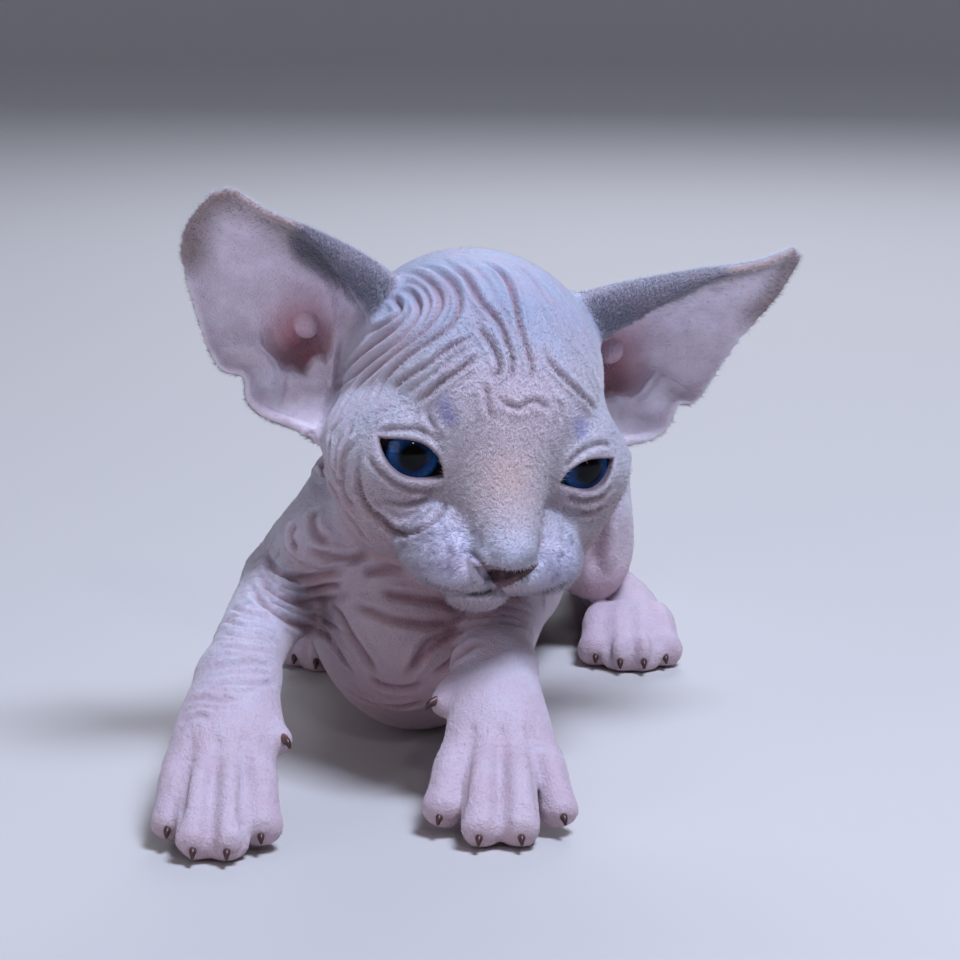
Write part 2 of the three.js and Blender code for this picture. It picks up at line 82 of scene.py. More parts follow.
EYE_RADIUS = 7.4
EYE_CENTRE = np.array([13.0, 9.6, -10.4])
EYE_OUTWARD_TURN = 11.0
EYE_SLANT = 24.0
EYE_OPENING_LEFT = (4.9, 2.0, 3.0)
EYE_OPENING_RIGHT = (5.9, 2.9, 2.9)
LID_THICKNESS = 1.2
SOCKET_GAP = 0.12
HEAD_REACH = 46.0
MUZZLE_LEAN = 0.27
HEAD_CENTRE = np.array([12.5, -5.0, 65.4])
VIEWER_RISE = 12.0
HEAD_TILT = 4.1
HEAD_TURN = 15.5
HEAD_NOD = 14.6

# The photographed view: what it looks at, from how far, and pixels for a slope of one
VIEW_TARGET = np.array([12.0, -5.0, 65.4])
VIEW_DISTANCE = 560.0
VIEW_DROP = 16.94
PICTURE_SIZE = 960
FOCAL_PIXELS = 3472.0
SENSOR_MM = 36.0

EAR_THICKNESS = 1.4
EAR_INNER_EDGE = [
    (12, -9, 2), (18, -2, 10.4), (26, 4.2, 16.2), (35, 7, 20.8), (42, 7.6, 23.6), (47.7, 6.4, 26)]
EAR_OUTER_EDGE = [
    (17, -2, -16), (29.5, -4, -11), (39.5, -9, -6), (46.4, -11.8, 5), (50.6, -7, 15.5), (49.5, 3.6, 24.6)]
EAR_DEPTH = [8, 12, 11.5, 7, 3, 1.2]
EAR_CROWN_ARC = [142, 138, 124, 100, 70, 50]
EAR_CHEEK_ARC = [116, 110, 98, 80, 62, 50]
EAR_BACK = (-0.62, -0.78, 0.1)
EAR_LIFT = {"left": 0.0, "right": 2.4}
EAR_WIDTH = {"left": 0.94, "right": 1.04}
EAR_ROOT = np.array([14.0, -4.0, -6.0])

# Stations of each limb: x, y, z, half width, half height
TRUNK = [
    (0, -1, 25, 13, 17), (0.5, 9, 26, 18, 24.4), (2, 24, 26.5, 19.5, 27.5), (5.5, 45, 26.2, 20, 27.2),
    (9, 66, 26.4, 21, 27.4), (11, 88, 28, 18.5, 28.5), (12, 105, 27, 15, 25), (12, 118, 24, 10, 16)]
NECK = [(1.5, 22, 34, 15, 15), (3, 14, 40, 15, 15), (7, 8, 47, 14.5, 14.5), (11, 4, 55, 14, 14)]
FORELIMBS = {
    "right": {
        "upper": [(-8, 17, 45, 6, 8.5), (-11, 3, 39, 8.5, 9), (-15, 8, 33, 8.5, 9), (-20, 14, 27, 7.4, 7.6)],
        "lower": [(-21, 14, 25, 7.4, 7.2), (-22.6, 1, 25, 6.6, 6.8), (-25, -15, 22.6, 6, 5.8),
                  (-26, -25, 20.6, 6.2, 5.6)],
        "wrist": (-26.4, -27, 20), "knuckles": (-28.4, -41, 10.6), "fan": 1, "half_width": 8.6,
        "toes": [(-35.2, -49.4, 1.2), (-31, -55.8, 0), (-26, -56.4, 0), (-21.4, -51, 0.8)],
        "thumb": (-19.4, -37, 14)},
    "left": {
        "upper": [(11, 19, 45, 6, 8.5), (12, 6, 39, 8.5, 9), (15, 11, 33, 8.5, 9), (18, 17, 27, 7.4, 7.6)],
        "lower": [(18.4, 17, 25, 7.4, 7.2), (17, 5, 25, 6.6, 6.8), (15, -10, 22.6, 6, 5.8),
                  (14.4, -19, 20.6, 6.2, 5.6)],
        "wrist": (14.4, -21, 20), "knuckles": (15.2, -35, 10.6), "fan": -1, "half_width": 9.4,
        "toes": [(24.2, -43, 1.2), (18.2, -49.4, 0), (12, -49.6, 0), (6.4, -43, 1.2)],
        "thumb": (6.4, -26.5, 17)}}
TOE_RADIUS = 2.8
TOE_TIP_RADIUS = 3.6
TOE_FAN = (-0.68, -0.24, 0.24, 0.68)
CLAW_HEIGHT = 2.5
FLAT_DEPTH = 0.45
HIND_FOOT_OUT = 27.5
HIND_KNUCKLE = (68, 7)
RUMP_X = 12.0
TAIL = [(12, 118, 25), (12.4, 130, 16), (14, 142, 7.6), (18, 156, 4.2), (19, 172, 3.5), (11, 188, 3.1),
        (-1, 200, 2.7), (-9, 214, 2.3), (-7, 229, 1.9), (2, 239, 1.55)]
TAIL_RADIUS = 6.3
TAIL_TIP_RADIUS = 1.7


# Turning and viewing
def turn(axis, degrees):
    return np.array(Matrix.Rotation(math.radians(degrees), 3, axis))


HEAD_TURNED = (turn("X", -VIEWER_RISE) @ turn("Y", HEAD_TILT) @ turn("Z", HEAD_TURN)
               @ turn("X", HEAD_NOD) @ turn("Z", 180))
VIEW_RIGHT = np.array([1.0, 0.0, 0.0])
VIEW_UP = turn("X", -VIEWER_RISE) @ np.array([0.0, 0.0, 1.0])
VIEW_AHEAD = turn("X", -VIEWER_RISE) @ np.array([0.0, 1.0, 0.0])
VIEWER = VIEW_TARGET - VIEW_DROP * VIEW_UP - VIEW_DISTANCE * VIEW_AHEAD


def in_head(points):
    return (points - HEAD_CENTRE) @ HEAD_TURNED


def from_head(points):
    return np.asarray(points, float) @ HEAD_TURNED.T + HEAD_CENTRE


def seen_at(points):
    """Pixels at which the photographed view shows the points."""
    reach = points - VIEWER
    depth = reach @ VIEW_AHEAD
    return np.stack([PICTURE_SIZE / 2 + FOCAL_PIXELS * (reach @ VIEW_RIGHT) / depth,
                     PICTURE_SIZE / 2 - FOCAL_PIXELS * (reach @ VIEW_UP) / depth], 1)


def sight_line(pixel):
    """Direction from the viewer through a pixel of the photographed frame."""
    across = (pixel[0] - PICTURE_SIZE / 2) / FOCAL_PIXELS
    down = (pixel[1] - PICTURE_SIZE / 2) / FOCAL_PIXELS
    line = VIEW_AHEAD + across * VIEW_RIGHT - down * VIEW_UP
    return line / np.linalg.norm(line)


# Curves and swept limbs
def spline(points, share):
    """Smooth curve through the points, at shares of its length from 0 to 1."""
    points = np.asarray(points, float)
    share = np.atleast_1d(share)
    last = len(points) - 1
    ends = np.vstack([2 * points[0] - points[1], points, 2 * points[-1] - points[-2]])
    first = np.minimum((share * last).astype(int), last - 1)
    w = (share * last - first)[:, None]
    before, a, b, after = ends[first], ends[first + 1], ends[first + 2], ends[first + 3]
    leave, reach = 0.5 * (b - before), 0.5 * (after - a)
    return (a * (1 + 2 * w) * (1 - w) ** 2 + leave * w * (1 - w) ** 2
            + b * w * w * (3 - 2 * w) + reach * w * w * (w - 1))


def unit(v):
    return v / np.maximum(np.linalg.norm(v, axis=-1, keepdims=True), 1e-12)


def ring_mesh(rings, first_pole, last_pole):
    """Closed mesh from rings of points with a pole at both ends: points, quads and triangles."""
    count, sides = rings.shape[:2]
    points = np.vstack([rings.reshape(-1, 3), first_pole, last_pole])
    ring, side = np.meshgrid(np.arange(count - 1), np.arange(sides), indexing="ij")
    after = (side + 1) % sides
    quads = np.stack([ring * sides + side, (ring + 1) * sides + side,
                      (ring + 1) * sides + after, ring * sides + after], -1).reshape(-1, 4)
    side = np.arange(sides)
    after = (side + 1) % sides
    low = np.stack([np.full(sides, count * sides), side, after], 1)
    high = np.stack([np.full(sides, count * sides + 1), (count - 1) * sides + after,
                     (count - 1) * sides + side], 1)
    return points, quads, np.vstack([low, high])


def limb(stations, sides=40, steps=60, domes=7):
    """Rounded limb swept through stations of place, half width and half height, with domed ends."""
    stations = np.array([tuple(s) + (s[3],) * (5 - len(s)) for s in stations], float)
    share = np.linspace(0, 1, steps)
    path = spline(stations[:, :3], share)
    tangent = unit(spline(stations[:, :3], np.minimum(share + 1e-3, 1))
                   - spline(stations[:, :3], np.maximum(share - 1e-3, 0)))
    size = spline(stations[:, 3:], share)
    upward = unit(np.cross((1.0, 0.0, 0.0), tangent))
    sideways = np.cross(tangent, upward)
    angle = np.linspace(0, 2 * np.pi, sides, endpoint=False)

    def ring(i, shrink, ahead):
        return (path[i] + tangent[i] * ahead
                + np.outer(np.cos(angle) * size[i, 0] * shrink, sideways[i])
                + np.outer(np.sin(angle) * size[i, 1] * shrink, upward[i]))

    dome = DOME_SHARE * np.minimum(stations[[0, -1], 3], stations[[0, -1], 4])
    bend = np.linspace(0, np.pi / 2, domes + 2)[1:-1]
    rings = [ring(0, math.sin(b), -dome[0] * math.cos(b)) for b in bend]
    rings += [ring(i, 1.0, 0.0) for i in range(steps)]
    rings += [ring(-1, math.sin(b), dome[1] * math.cos(b)) for b in bend[::-1]]
    return ring_mesh(np.array(rings), path[0] - tangent[0] * dome[0], path[-1] + tangent[-1] * dome[1])


def ball(centre, halves, sides=40, rows=22):
    angle = np.linspace(0, 2 * np.pi, sides, endpoint=False)
    bend = np.linspace(0, np.pi, rows)[1:-1]
    rings = np.array([[(math.sin(b) * math.cos(a), math.sin(b) * math.sin(a), -math.cos(b)) for a in angle]
                      for b in bend])
    pole = np.array([0, 0, 1.0])
    points, quads, triangles = ring_mesh(rings, -pole, pole)
    return points * np.asarray(halves, float) + np.asarray(centre, float), quads, triangles


# A block of space holding the distance to the skin, negative inside
class Volume:
    def __init__(self, low, high, step):
        self.low = np.asarray(low, float)
        self.step = step
        self.shape = np.ceil((np.asarray(high) - self.low) / step).astype(int) + 1
        self.values = np.full(self.shape, BAND * step, np.float32)

    def window(self, low, high):
        first = np.maximum(np.floor((low - self.low) / self.step).astype(int), 0)
        last = np.minimum(np.ceil((high - self.low) / self.step).astype(int) + 1, self.shape)
        return first, last, tuple(slice(a, b) for a, b in zip(first, last))

    def blend(self, form, softness):
        """Adds a closed form, with a fillet of about a quarter of softness where it meets the rest."""
        points, quads, triangles = form
        reach = BAND * self.step
        first, last, place = self.window(points.min(0) - reach, points.max(0) + reach)
        grid = openvdb.FloatGrid.createLevelSetFromPolygons(
            ((points - self.low) / self.step).astype(np.float32), triangles=triangles.astype(np.uint32),
            quads=quads.astype(np.uint32), transform=openvdb.createLinearTransform(voxelSize=1.0),
            halfWidth=BAND)
        block = np.empty(last - first, np.float32)
        grid.copyToArray(block, ijk=tuple(int(i) for i in first))
        self.values[place] = soft_min(self.values[place], block * self.step, softness)

    def carve(self, points, radius, softness):
        """Takes a round channel along the points out of the form."""
        points = np.array(points, float)
        reach = max(radius) + 2
        first, last, place = self.window(points.min(0) - reach, points.max(0) + reach)
        channel = cord_field(self.grid_points(place), points, radius).reshape(last - first)
        self.values[place] = soft_max(self.values[place], -channel.astype(np.float32), softness)

    def grid_points(self, place):
        axes = [self.low[i] + self.step * np.arange(place[i].start, place[i].stop) for i in range(3)]
        return np.stack(np.meshgrid(*axes, indexing="ij"), -1).reshape(-1, 3)

    def at(self, points):
        """Distance between the grid's own points, by straight interpolation."""
        place = np.clip((points - self.low) / self.step, 0, self.shape - 1.001)
        corner = place.astype(int)
        part = (place - corner).astype(np.float32)
        total = np.zeros(len(points), np.float32)
        for offset in np.ndindex(2, 2, 2):
            share = np.prod(np.where(offset, part, 1 - part), axis=1)
            i, j, k = (corner + offset).T
            total += share * self.values[i, j, k]
        return total


def soft_min(a, b, softness):
    near = np.maximum(softness - np.abs(a - b), 0) / softness
    return np.minimum(a, b) - near * near * softness * 0.25


def soft_max(a, b, softness):
    return -soft_min(-a, -b, softness)


def swell(value, low, high):
    """Smooth step from 0 at low to 1 at high."""
    share = np.clip((value - low) / (high - low), 0, 1)
    return share * share * (3 - 2 * share)


# Head: a blend of rounded masses, with the lids, nostrils and mouth cut into it
def mass(p, centre, halves):
    q = (p - np.asarray(centre, float)) / np.asarray(halves, float)
    near = np.linalg.norm(q, axis=1)
    slope = np.linalg.norm(q / np.asarray(halves, float), axis=1)
    return near * (near - 1) / np.maximum(slope, 1e-9)


def bar(p, a, b, radius_a, radius_b):
    a, b = np.asarray(a, float), np.asarray(b, float)
    along = np.clip((p - a) @ (b - a) / ((b - a) @ (b - a)), 0, 1)
    return np.linalg.norm(p - a - np.outer(along, b - a), axis=1) - (radius_a + (radius_b - radius_a) * along)


def cord_field(p, points, radius):
    """Round rod through a short list of points."""
    rod = bar(p, points[0], points[1], radius[0], radius[1])
    for i in range(1, len(points) - 1):
        rod = np.minimum(rod, bar(p, points[i], points[i + 1], radius[i], radius[i + 1]))
    return rod


def folded(p):
    """Places brought on to the +X side of the head."""
    return np.stack([np.abs(p[:, 0]), p[:, 1], p[:, 2]], 1)


def in_eye(p):
    """Places in the frame of the eye on the +X side: across its slanted width, up, and out along the gaze."""
    local = (p - EYE_CENTRE) @ turn("Z", -EYE_OUTWARD_TURN)
    slant = math.radians(EYE_SLANT)
    across = local[:, 0] * math.cos(slant) + local[:, 2] * math.sin(slant)
    up = -local[:, 0] * math.sin(slant) + local[:, 2] * math.cos(slant)
    return np.stack([across, up, local[:, 1]], 1)


def eye_opening(p):
    """Almond between the lids as a prism along the gaze, highest near its inner corner."""
    right = (p[:, 0] > 0)[:, None]
    half, above, below = np.where(right, EYE_OPENING_RIGHT, EYE_OPENING_LEFT).T
    across, up, out = in_eye(folded(p)).T
    share = across / half
    top = above * (1 - share ** 2) * (1 - 0.3 * share)
    bottom = -below * (1 - share ** 2) * (1 + 0.15 * share)
    slope = 1 / np.sqrt(1 + (1.6 * above * share / half) ** 2)
    almond = np.maximum(up - top, bottom - up) * slope
    return np.maximum(almond, -out)


def leaned(p):
    """Places with the middle of the muzzle brought upright, and folded on to the +X side."""
    lean = MUZZLE_LEAN * np.clip(-20 - p[:, 2], 0, 8) * swell(p[:, 1], 12, 22)
    return np.stack([np.abs(p[:, 0] - lean), p[:, 1], p[:, 2]], 1)


def head_field(p):
    m = leaned(p)
    p = folded(p)
    d = mass(p, *SKULL)
    for centre, halves, softness in (FOREHEAD, CHEEKBONE, CHEEK):
        d = soft_min(d, mass(p, centre, halves), softness)
    for ends, softness in ((NOSE_BRIDGE, 6), (JAW, 4)):
        d = soft_min(d, bar(p, *ends), softness)
    d = soft_min(d, np.linalg.norm(p - EYE_CENTRE, axis=1) - EYE_RADIUS - LID_THICKNESS, 3)
    d = soft_min(d, mass(p, *WHISKER_PAD[:2]), WHISKER_PAD[2])
    for centre, halves, softness in (LIP, CHIN, NOSE_TIP, NOSE_WING):
        d = soft_min(d, mass(m, centre, halves), softness)
    return d


def engrave(d, region, depth, softness):
    """Sinks the surface by a depth where the region is negative."""
    return soft_max(d, -np.maximum(region, -d - depth), softness)


def nose_notch(p):
    """The V of bare leather under the tip of the nose, from nostril to nostril down to the lips."""
    m = leaned(p)
    flank = (m[:, 0] - (m[:, 2] + 27.3) * 1.2) / 1.56
    under = m[:, 2] + 23.4 + 0.5 * np.clip(1 - (m[:, 0] / 4.4) ** 2, 0, 1)
    return np.maximum(np.maximum(flank, under), 24 - m[:, 1])


def nostril(p):
    return cord_field(leaned(p), NOSTRIL, NOSTRIL_RADII)


def finished_head(p):
    d = head_field(p)
    d = engrave(d, nose_notch(p), 0.9, 0.5)
    d = soft_max(d, -nostril(p), 0.5)
    d = soft_max(d, -eye_opening(p), 0.7)
    eye = np.linalg.norm(folded(p) - EYE_CENTRE, axis=1)
    return np.maximum(d, EYE_RADIUS + SOCKET_GAP - eye)


# Ears: a curved shell between an inner and an outer edge, cupped backwards
def ear_points(name, along, across):
    """Middle of the shell of one ear, in the head's frame and on its +X side."""
    inner = spline(EAR_INNER_EDGE, along)
    notch = 0.1 * np.exp(-((along - 0.37) / 0.035) ** 2) - 0.05 * np.exp(-((along - 0.26) / 0.07) ** 2)
    outer = inner + (spline(EAR_OUTER_EDGE, along) - inner) * (EAR_WIDTH[name] - notch)[:, None]
    shape = spline(np.stack([EAR_DEPTH, EAR_CROWN_ARC, EAR_CHEEK_ARC], 1), along)
    half = np.radians(np.where(across < 0, shape[:, 1], shape[:, 2]))
    angle = across * half
    sideways = np.sin(angle) / np.sin(np.minimum(half, np.pi / 2))
    behind = (np.cos(angle) - np.cos(half)) / (1 - np.cos(half))
    back = unit(np.array(EAR_BACK))
    points = ((inner + outer) / 2 + (outer - inner) / 2 * sideways[:, None]
              + back * (shape[:, 0] * behind)[:, None])
    return (points - EAR_ROOT) @ turn("Y", -EAR_LIFT[name]).T + EAR_ROOT


def ear_form(name, side, rows=120, columns=140):
    along, across = np.meshgrid(np.linspace(0, 1, rows), np.linspace(-1, 1, columns), indexing="ij")
    middle = ear_points(name, along.ravel(), across.ravel()).reshape(rows, columns, 3)
    normal = unit(np.cross(np.gradient(middle, axis=1), np.gradient(middle, axis=0)))
    edge = np.minimum(1 - np.abs(across), (1 - along) * 1.6)
    thickness = EAR_THICKNESS * (0.82 + 0.18 * swell(edge, 0, 0.2)) * (1.7 - 0.7 * swell(along, 0, 0.45))
    front = middle + normal * thickness[..., None] / 2
    rear = middle - normal * thickness[..., None] / 2
    points = np.vstack([front.reshape(-1, 3), rear.reshape(-1, 3)]) * np.array([side, 1, 1])
    count = rows * columns
    row, column = np.meshgrid(np.arange(rows - 1), np.arange(columns - 1), indexing="ij")
    a = (row * columns + column).ravel()
    cell = np.stack([a, a + 1, a + columns + 1, a + columns], 1)
    rim = np.concatenate([
        np.arange(columns), np.arange(1, rows) * columns + columns - 1,
        (rows - 1) * columns + np.arange(columns - 2, -1, -1), np.arange(rows - 2, 0, -1) * columns])
    after = np.roll(rim, -1)
    wall = np.stack([rim, rim + count, after + count, after], 1)
    quads = np.vstack([cell, cell[:, ::-1] + count, wall])
    if side < 0:
        quads = quads[:, ::-1]
    return from_head(points), quads, np.empty((0, 3), int)


# Body: trunk, neck, legs and tail
def toe_knuckle(arm, i):
    spread = TOE_FAN[i] * arm["half_width"] * arm["fan"]
    x, y, z = arm["knuckles"]
    return x + spread, y + abs(spread) * 0.22, z


def toe(knuckle, tip, size=1.0):
    lift = tip[2] if len(tip) > 2 else 0
    rest = TOE_TIP_RADIUS * size - FLAT_DEPTH + lift

    def along(share, height, radius):
        return (knuckle[0] + (tip[0] - knuckle[0]) * share, knuckle[1] + (tip[1] - knuckle[1]) * share,
                height, radius * size)
    height = knuckle[2]
    return limb([along(0, height, TOE_RADIUS * 0.95), along(0.4, height * 0.9, TOE_RADIUS * 1.1),
                 along(0.74, height * 0.63, TOE_RADIUS * 1.1), along(0.97, rest, TOE_TIP_RADIUS)],
                sides=24, steps=24)


def hind_place(side, out):
    return RUMP_X + side * out


def hind_toes(side):
    tips = ((-6.2, 57.4), (-2.1, 53.6), (2.1, 53.4), (6, 57))
    return [(hind_place(side, HIND_FOOT_OUT + out), y, 0) for out, y in tips]


def hind_knuckles(side):
    return [(hind_place(side, HIND_FOOT_OUT + out), *HIND_KNUCKLE) for out in (-5.2, -1.8, 1.8, 5)]


def cleave(volume, knuckle_a, knuckle_b, tip_a, tip_b):
    """Cleft between two toes, from between their knuckles down to the floor."""
    knuckle = (np.array(knuckle_a, float) + knuckle_b) / 2
    tip = (np.array(tip_a[:2], float) + tip_b[:2]) / 2
    ahead = unit(tip - knuckle[:2])

    def along(share, height, forward=0.0):
        return (*(knuckle[:2] + (tip - knuckle[:2]) * share + ahead * forward), height)
    volume.carve([along(0.12, knuckle[2] + 4.4), along(0.4, 12.6), along(0.72, 10.2), along(0.95, 7.2, 1.4),
                  along(1, 4.2, 2.6), along(1, 0, 3.4)], (0.1, 0.4, 0.7, 0.8, 0.8, 0.8), 1.6)


def add_foreleg(volume, arm):
    wx, wy, wz = arm["wrist"]
    kx, ky, kz = arm["knuckles"]
    tx, ty, tz = arm["thumb"]
    fan = arm["fan"]
    volume.blend(limb(arm["upper"]), 4.5)
    volume.blend(limb(arm["lower"]), 3)
    volume.blend(limb([(wx, wy + 2, wz + 0.5, 6.2, 5.2),
                       ((wx + kx) / 2, (wy + ky) / 2, (wz + kz) / 2 + 0.4, 7.8, 5.4),
                       (kx, ky, kz - 0.6, arm["half_width"], 5)]), 3)
    volume.blend(ball((kx, ky - 1, 4.6), (7, 6.6, 4.6 + FLAT_DEPTH)), 2)
    volume.blend(limb([(wx + fan * 3.4, wy - 1, wz - 1.5, 3), (tx - fan * 1.6, ty + 2.4, tz + 1, 2.6),
                       (tx, ty, tz - 0.6, 2.4)], sides=24), 1.6)
    for i, tip in enumerate(arm["toes"]):
        volume.blend(toe(toe_knuckle(arm, i), tip, 0.88 if i == 0 else 1.0), 1.2)
    for i in range(3):
        cleave(volume, toe_knuckle(arm, i), toe_knuckle(arm, i + 1), arm["toes"][i], arm["toes"][i + 1])


def add_hind_leg(volume, side):
    def x(out):
        return hind_place(side, out)
    volume.blend(limb([(x(8), 109, 35, 9, 13), (x(13), 99, 32, 11.5, 19), (x(17.5), 85, 28.5, 10.5, 19),
                       (x(21), 70, 22.5, 7.5, 12.5)]), 4.5)
    volume.blend(limb([(x(21), 70, 18, 6.6, 8.5), (x(22), 90, 15, 6.6, 8.5), (x(21.6), 108, 10.6, 5.4, 6.6),
                       (x(21.6), 115, 7.6, 4.4, 5.6)]), 2.5)
    volume.blend(limb([(x(21.6), 116, 5.6, 4.6, 5.6 + FLAT_DEPTH), (x(24), 98, 5, 4.9, 5 + FLAT_DEPTH),
                       (x(27), 80, 5.2, 6.2, 5.2 + FLAT_DEPTH),
                       (x(HIND_FOOT_OUT), 70, 4.6, 8, 4.6 + FLAT_DEPTH)]), 1.5)
    knuckles, toes = hind_knuckles(side), hind_toes(side)
    for knuckle, tip in zip(knuckles, toes):
        volume.blend(toe(knuckle, tip), 1.2)
    for i in range(3):
        cleave(volume, knuckles[i], knuckles[i + 1], toes[i], toes[i + 1])


def body_volume():
    volume = Volume(BODY_LOW, BODY_HIGH, SKIN_STEP)
    volume.blend(limb(TRUNK, sides=64, steps=110, domes=12), 1)
    volume.blend(limb(NECK, sides=48), 5)
    for arm in FORELIMBS.values():
        add_foreleg(volume, arm)
    for side in (-1, 1):
        add_hind_leg(volume, side)
    share = np.arange(len(TAIL)) / (len(TAIL) - 1)
    radius = TAIL_RADIUS + (TAIL_TIP_RADIUS - TAIL_RADIUS) * share ** 0.7
    volume.blend(limb([p + (r,) for p, r in zip(TAIL, radius)], sides=24, steps=160), 4.5)
    return volume


def ear_volume():
    forms = [ear_form("right", 1), ear_form("left", -1)]
    points = np.vstack([form[0] for form in forms])
    volume = Volume(points.min(0) - 4, points.max(0) + 4, SKIN_STEP)
    for form in forms:
        volume.blend(form, 1)
    return volume


body = body_volume()
ears = ear_volume()


def skin_field(points):
    """Distance from the whole skin at any points."""
    d = body.at(points)
    in_ears = np.all((points > ears.low) & (points < ears.low + ears.step * (ears.shape - 1)), axis=1)
    local = in_head(points)
    near = np.linalg.norm(local, axis=1) < HEAD_REACH
    near_head = np.full(len(points), BAND * SKIN_STEP)
    near_head[near] = finished_head(local[near])
    ear = np.full(len(points), BAND * SKIN_STEP)
    ear[in_ears] = ears.at(points[in_ears])
    d = soft_min(d, soft_min(near_head, ear, 2.2), 3)
    return soft_max(d, -points[:, 2], 0.8)


# Skin mesh
def skin_quads():
    """Even quads over the whole skin, from the blended volumes."""
    whole = Volume(BODY_LOW, BODY_HIGH, SKIN_STEP)
    whole.values = body.values.copy()
    first, last, place = whole.window(HEAD_CENTRE - HEAD_REACH, HEAD_CENTRE + HEAD_REACH)
    ear_corners = whole.window(ears.low, ears.low + ears.step * ears.shape)
    first = np.minimum(first, ear_corners[0])
    last = np.maximum(last, ear_corners[1])
    place = tuple(slice(a, b) for a, b in zip(first, last))
    points = whole.grid_points(place)
    whole.values[place] = skin_field(points).reshape(last - first)
    height = whole.low[2] + whole.step * np.arange(whole.shape[2])
    whole.values = soft_max(whole.values, -height[None, None, :], 0.8).astype(np.float32)
    grid = openvdb.FloatGrid(background=BAND * SKIN_STEP)
    grid.copyFromArray(whole.values)
    points, quads = grid.convertToQuads(isovalue=0)
    return points * whole.step + whole.low, quads.astype(int)


def largest_piece(points, quads):
    """Drops any closed scrap that isn't joined to the main skin."""
    label = np.arange(len(points))
    while True:
        least = label[quads].min(1)
        fresh = label.copy()
        np.minimum.at(fresh, quads.ravel(), np.repeat(least, 4))
        fresh = fresh[fresh]
        if np.array_equal(fresh, label):
            break
        label = fresh
    main = np.bincount(label).argmax()
    keep = label == main
    number = np.cumsum(keep) - 1
    return points[keep], number[quads[keep[quads[:, 0]]]]


def refine(points, quads, chosen):
    """Splits the chosen quads in four, and fits the quads beside them with triangles."""
    sides = np.stack([quads, np.roll(quads, -1, axis=1)], -1)
    key = np.sort(sides, -1).reshape(-1, 2)
    code = key[:, 0] * len(points) + key[:, 1]
    edges, edge_of = np.unique(code, return_inverse=True)
    edge_of = edge_of.reshape(-1, 4)
    split = np.zeros(len(edges), bool)
    split[edge_of[chosen].ravel()] = True
    middle = np.full(len(edges), -1)
    middle[split] = len(points) + np.arange(split.sum())
    ends = np.stack([edges // len(points), edges % len(points)], 1)[split]
    points_out = [points, points[ends].mean(1)]
    centre = len(points) + split.sum() + np.arange(chosen.sum())
    points_out.append(points[quads[chosen]].mean(1))
    m = middle[edge_of[chosen]]
    small = [np.stack([quads[chosen][:, k], m[:, k], centre, m[:, k - 1]], 1) for k in range(4)]
    beside = ~chosen & split[edge_of].any(1)
    fans = []
    for quad, m in zip(quads[beside], middle[edge_of[beside]]):
        outline = [p for pair in zip(quad, m) for p in pair if p >= 0]
        start = next(i for i, p in enumerate(outline) if p in m)
        outline = outline[start:] + outline[:start]
        fans += [(outline[0], outline[i], outline[i + 1]) for i in range(1, len(outline) - 1)]
    plain = quads[~chosen & ~beside]
    return np.vstack(points_out), np.vstack(small + [plain]), np.array(fans, int).reshape(-1, 3)


def neighbour_means(points, edges):
    count = len(points)
    others = points[edges[:, ::-1].ravel()]
    total = np.stack([np.bincount(edges.ravel(), others[:, i], count) for i in range(3)], 1)
    return total / np.maximum(np.bincount(edges.ravel(), minlength=count), 1)[:, None]


def edges_of(quads, triangles):
    pairs = [np.stack([f, np.roll(f, -1, axis=1)], -1).reshape(-1, 2) for f in (quads, triangles)]
    return np.unique(np.sort(np.vstack(pairs), axis=1), axis=0)


def smoothed(points, edges, rounds):
    """Takes the small steps of the volume out without shrinking the form."""
    for i in range(rounds * 2):
        strength = SMOOTH_IN if i % 2 == 0 else -SMOOTH_OUT
        points = points + strength * (neighbour_means(points, edges) - points)
    return points


def drawn_to_skin(points):
    """Moves points along the slope of the distance from the skin onto the skin."""
    axes = np.eye(3) * SLOPE_STEP
    slope = np.stack([skin_field(points + a) - skin_field(points - a) for a in axes], 1) / (2 * SLOPE_STEP)
    steep = np.sum(slope * slope, axis=1, keepdims=True)
    shift = -slope * (skin_field(points) / np.maximum(steep[:, 0], LEAST_STEEPNESS))[:, None]
    length = np.linalg.norm(shift, axis=1, keepdims=True)
    return points + shift * np.minimum(1, LONGEST_MOVE / np.maximum(length, 1e-9))


def normals_of(points, quads, triangles):
    total = np.zeros_like(points)
    for faces in (quads, triangles):
        if len(faces):
            corner = points[faces]
            normal = np.cross(corner[:, 2] - corner[:, 0], corner[:, -1] - corner[:, 1])
            if faces.shape[1] == 3:
                normal = np.cross(corner[:, 1] - corner[:, 0], corner[:, 2] - corner[:, 0])
            for k in range(faces.shape[1]):
                for i in range(3):
                    total[:, i] += np.bincount(faces[:, k], normal[:, i], len(points))
    return unit(total)


# Inside of the ears, set out in pixels of the photographed view of the kitten's right ear. On the left ear it
# is mirrored and moved towards the head. Heights are in millimetres. A ridge has its line, height and width.
CANAL_RIM = [(262, 343), (266, 356), (274, 364), (283, 367), (292, 368), (299, 374), (304, 375), (309, 367),
             (314, 359), (320, 357), (326, 361), (333, 352)]
CANAL_TOP = [(340, 300), (335, 230), (250, 230), (252, 300)]
CANAL_MIDDLE = (302, 338)
CANAL_REACH = (34, 40)
LEFT_CANAL_SHIFT = 20
KNOB = (306, 326)
KNOB_RADIUS = 12.5
KNOB_HEIGHT = 2.2
LOBE_TOP = (330, 352)
LOBE_HEIGHT = 1.7
RIDGE_SHARE = 0.55
CROWN_FUR = [(316, 243), (338, 258), (358, 272), (377, 290), (392, 316)]
CROWN_TAN = [(186, 250), (188, 222), (204, 198), (232, 187), (262, 197), (290, 218), (318, 244)]
